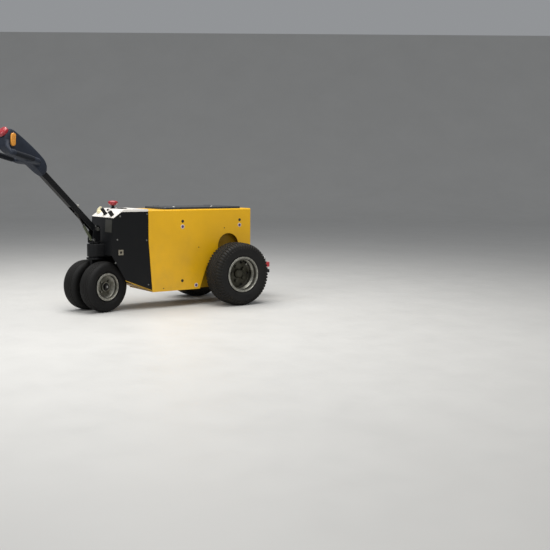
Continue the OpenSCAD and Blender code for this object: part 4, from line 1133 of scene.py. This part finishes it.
class TUG_OT_steering(bpy.types.Operator):
    """Makes the steering head with its round front and the fork under it"""
    bl_idname = "tug.steering"
    bl_label = "Steering"

    def execute(self, context):
        casting = Shell(row)
        rear, half = 559, 49.6
        front = arc(47, -np.pi / 2, np.pi / 2, 25) + [KINGPIN_S, 0]
        flanks = [(KINGPIN_S - 40, half), (rear, half), (rear, -half), (KINGPIN_S - 40, -half)]
        casting.plate(np.vstack([front, flanks]), HEAD_FOOT, HEAD_TOP, 3.0)
        make_piece("steering_head_casting", casting, ["black_paint"], "chassis",
                   ["steering_head"])
        fork = Shell(steered)
        leg = np.array([(-24.0, 131.0), (24.0, 131.0), (34.0, CROWN_Z), (-34.0, CROWN_Z)])
        fork.plate(leg, -12, 12, 1.0, lie=ACROSS)
        fork.turned([(-12, 33), (-11, 34), (11, 34), (12, 33)], (0, 0, FRONT_R), LEFT, 48)
        collar = CROWN_Z + CROWN_THICK
        fork.plate(round_box(90, 100, 38, 8), CROWN_Z, collar, 1.5)
        fork.turned([(collar, 36), (HEAD_FOOT - 0.3, 36)], (0, 0, 0), UP, 40)
        fork.turned([(CROWN_Z, 20), (CLEVIS_FOOT, 20)], (0, 0, 0), UP, 32)
        make_piece("fork", fork, ["black_paint"], "steering", ["steering_fork"])
        return {"FINISHED"}


class TUG_OT_rear_trim(bpy.types.Operator):
    """Makes the tail lamps' lenses and the coupling's bolts and ring"""
    bl_idname = "tug.rear_trim"
    bl_label = "Rear trim"

    def execute(self, context):
        backwards = (-1, 1, 1)
        for side, name in SIDES:
            lens = Shell(row)
            at = (0, side * 128, 498)
            lens.plate(round_box(30, 48, 5, 6), 176, 179.5, 0.8, at, 1, ALONG, backwards)
            lens.plate(round_box(26, 44, 5, 6), 178, 185, 2.4, at, 0, ALONG, backwards)
            make_piece(f"lamp_lens_{name}", lens, ["lamp_red", "black_plastic"], "chassis",
                       [f"tail_light_{name}"])
        rear = Shell(row)
        for y in (-66, 66):
            for z in (136, 222):
                rear.bolt((-186, y, z), (-1, 0, 0), 8.5, 6.5)
        rear.add(ring(15, 2.6, (-400, 0, 257), FORWARDS), loop=True)
        make_piece("coupling_bolts", rear, ["bright_steel"], "chassis")
        return {"FINISHED"}


STEPS = (TUG_OT_finishes, TUG_OT_stage, TUG_OT_drive_tyres, TUG_OT_steer_tyres, TUG_OT_fixings,
         TUG_OT_lid, TUG_OT_tiller_head, TUG_OT_controls, TUG_OT_instruments, TUG_OT_wheel_trim,
         TUG_OT_tiller_trim, TUG_OT_steering, TUG_OT_rear_trim)


class TUG_PT_panel(bpy.types.Panel):
    """Lists the sizes, the colours and the steps"""
    bl_idname = "TUG_PT_panel"
    bl_label = "Tow tug"
    bl_space_type = "VIEW_3D"
    bl_region_type = "UI"
    bl_category = "Tow tug"

    def draw(self, context):
        scene = context.scene
        for group in (scene.tug_look, scene.tug_tread, scene.tug_light):
            box = self.layout.box()
            for name in group.__annotations__:
                box.prop(group, name)
        for step in STEPS:
            self.layout.operator(step.bl_idname)


CLASSES = (TugLook, TugTread, TugLight, *STEPS, TUG_PT_panel)


def register():
    for cls in CLASSES:
        bpy.utils.register_class(cls)
    bpy.types.Scene.tug_look = PointerProperty(type=TugLook)
    bpy.types.Scene.tug_tread = PointerProperty(type=TugTread)
    bpy.types.Scene.tug_light = PointerProperty(type=TugLight)


def unregister():
    for name in ("tug_light", "tug_tread", "tug_look"):
        delattr(bpy.types.Scene, name)
    for cls in reversed(CLASSES):
        bpy.utils.unregister_class(cls)


def main():
    register()
    for step in STEPS:
        group, name = step.bl_idname.split(".")
        getattr(getattr(bpy.ops, group), name)()


if __name__ == "__main__":
    main()
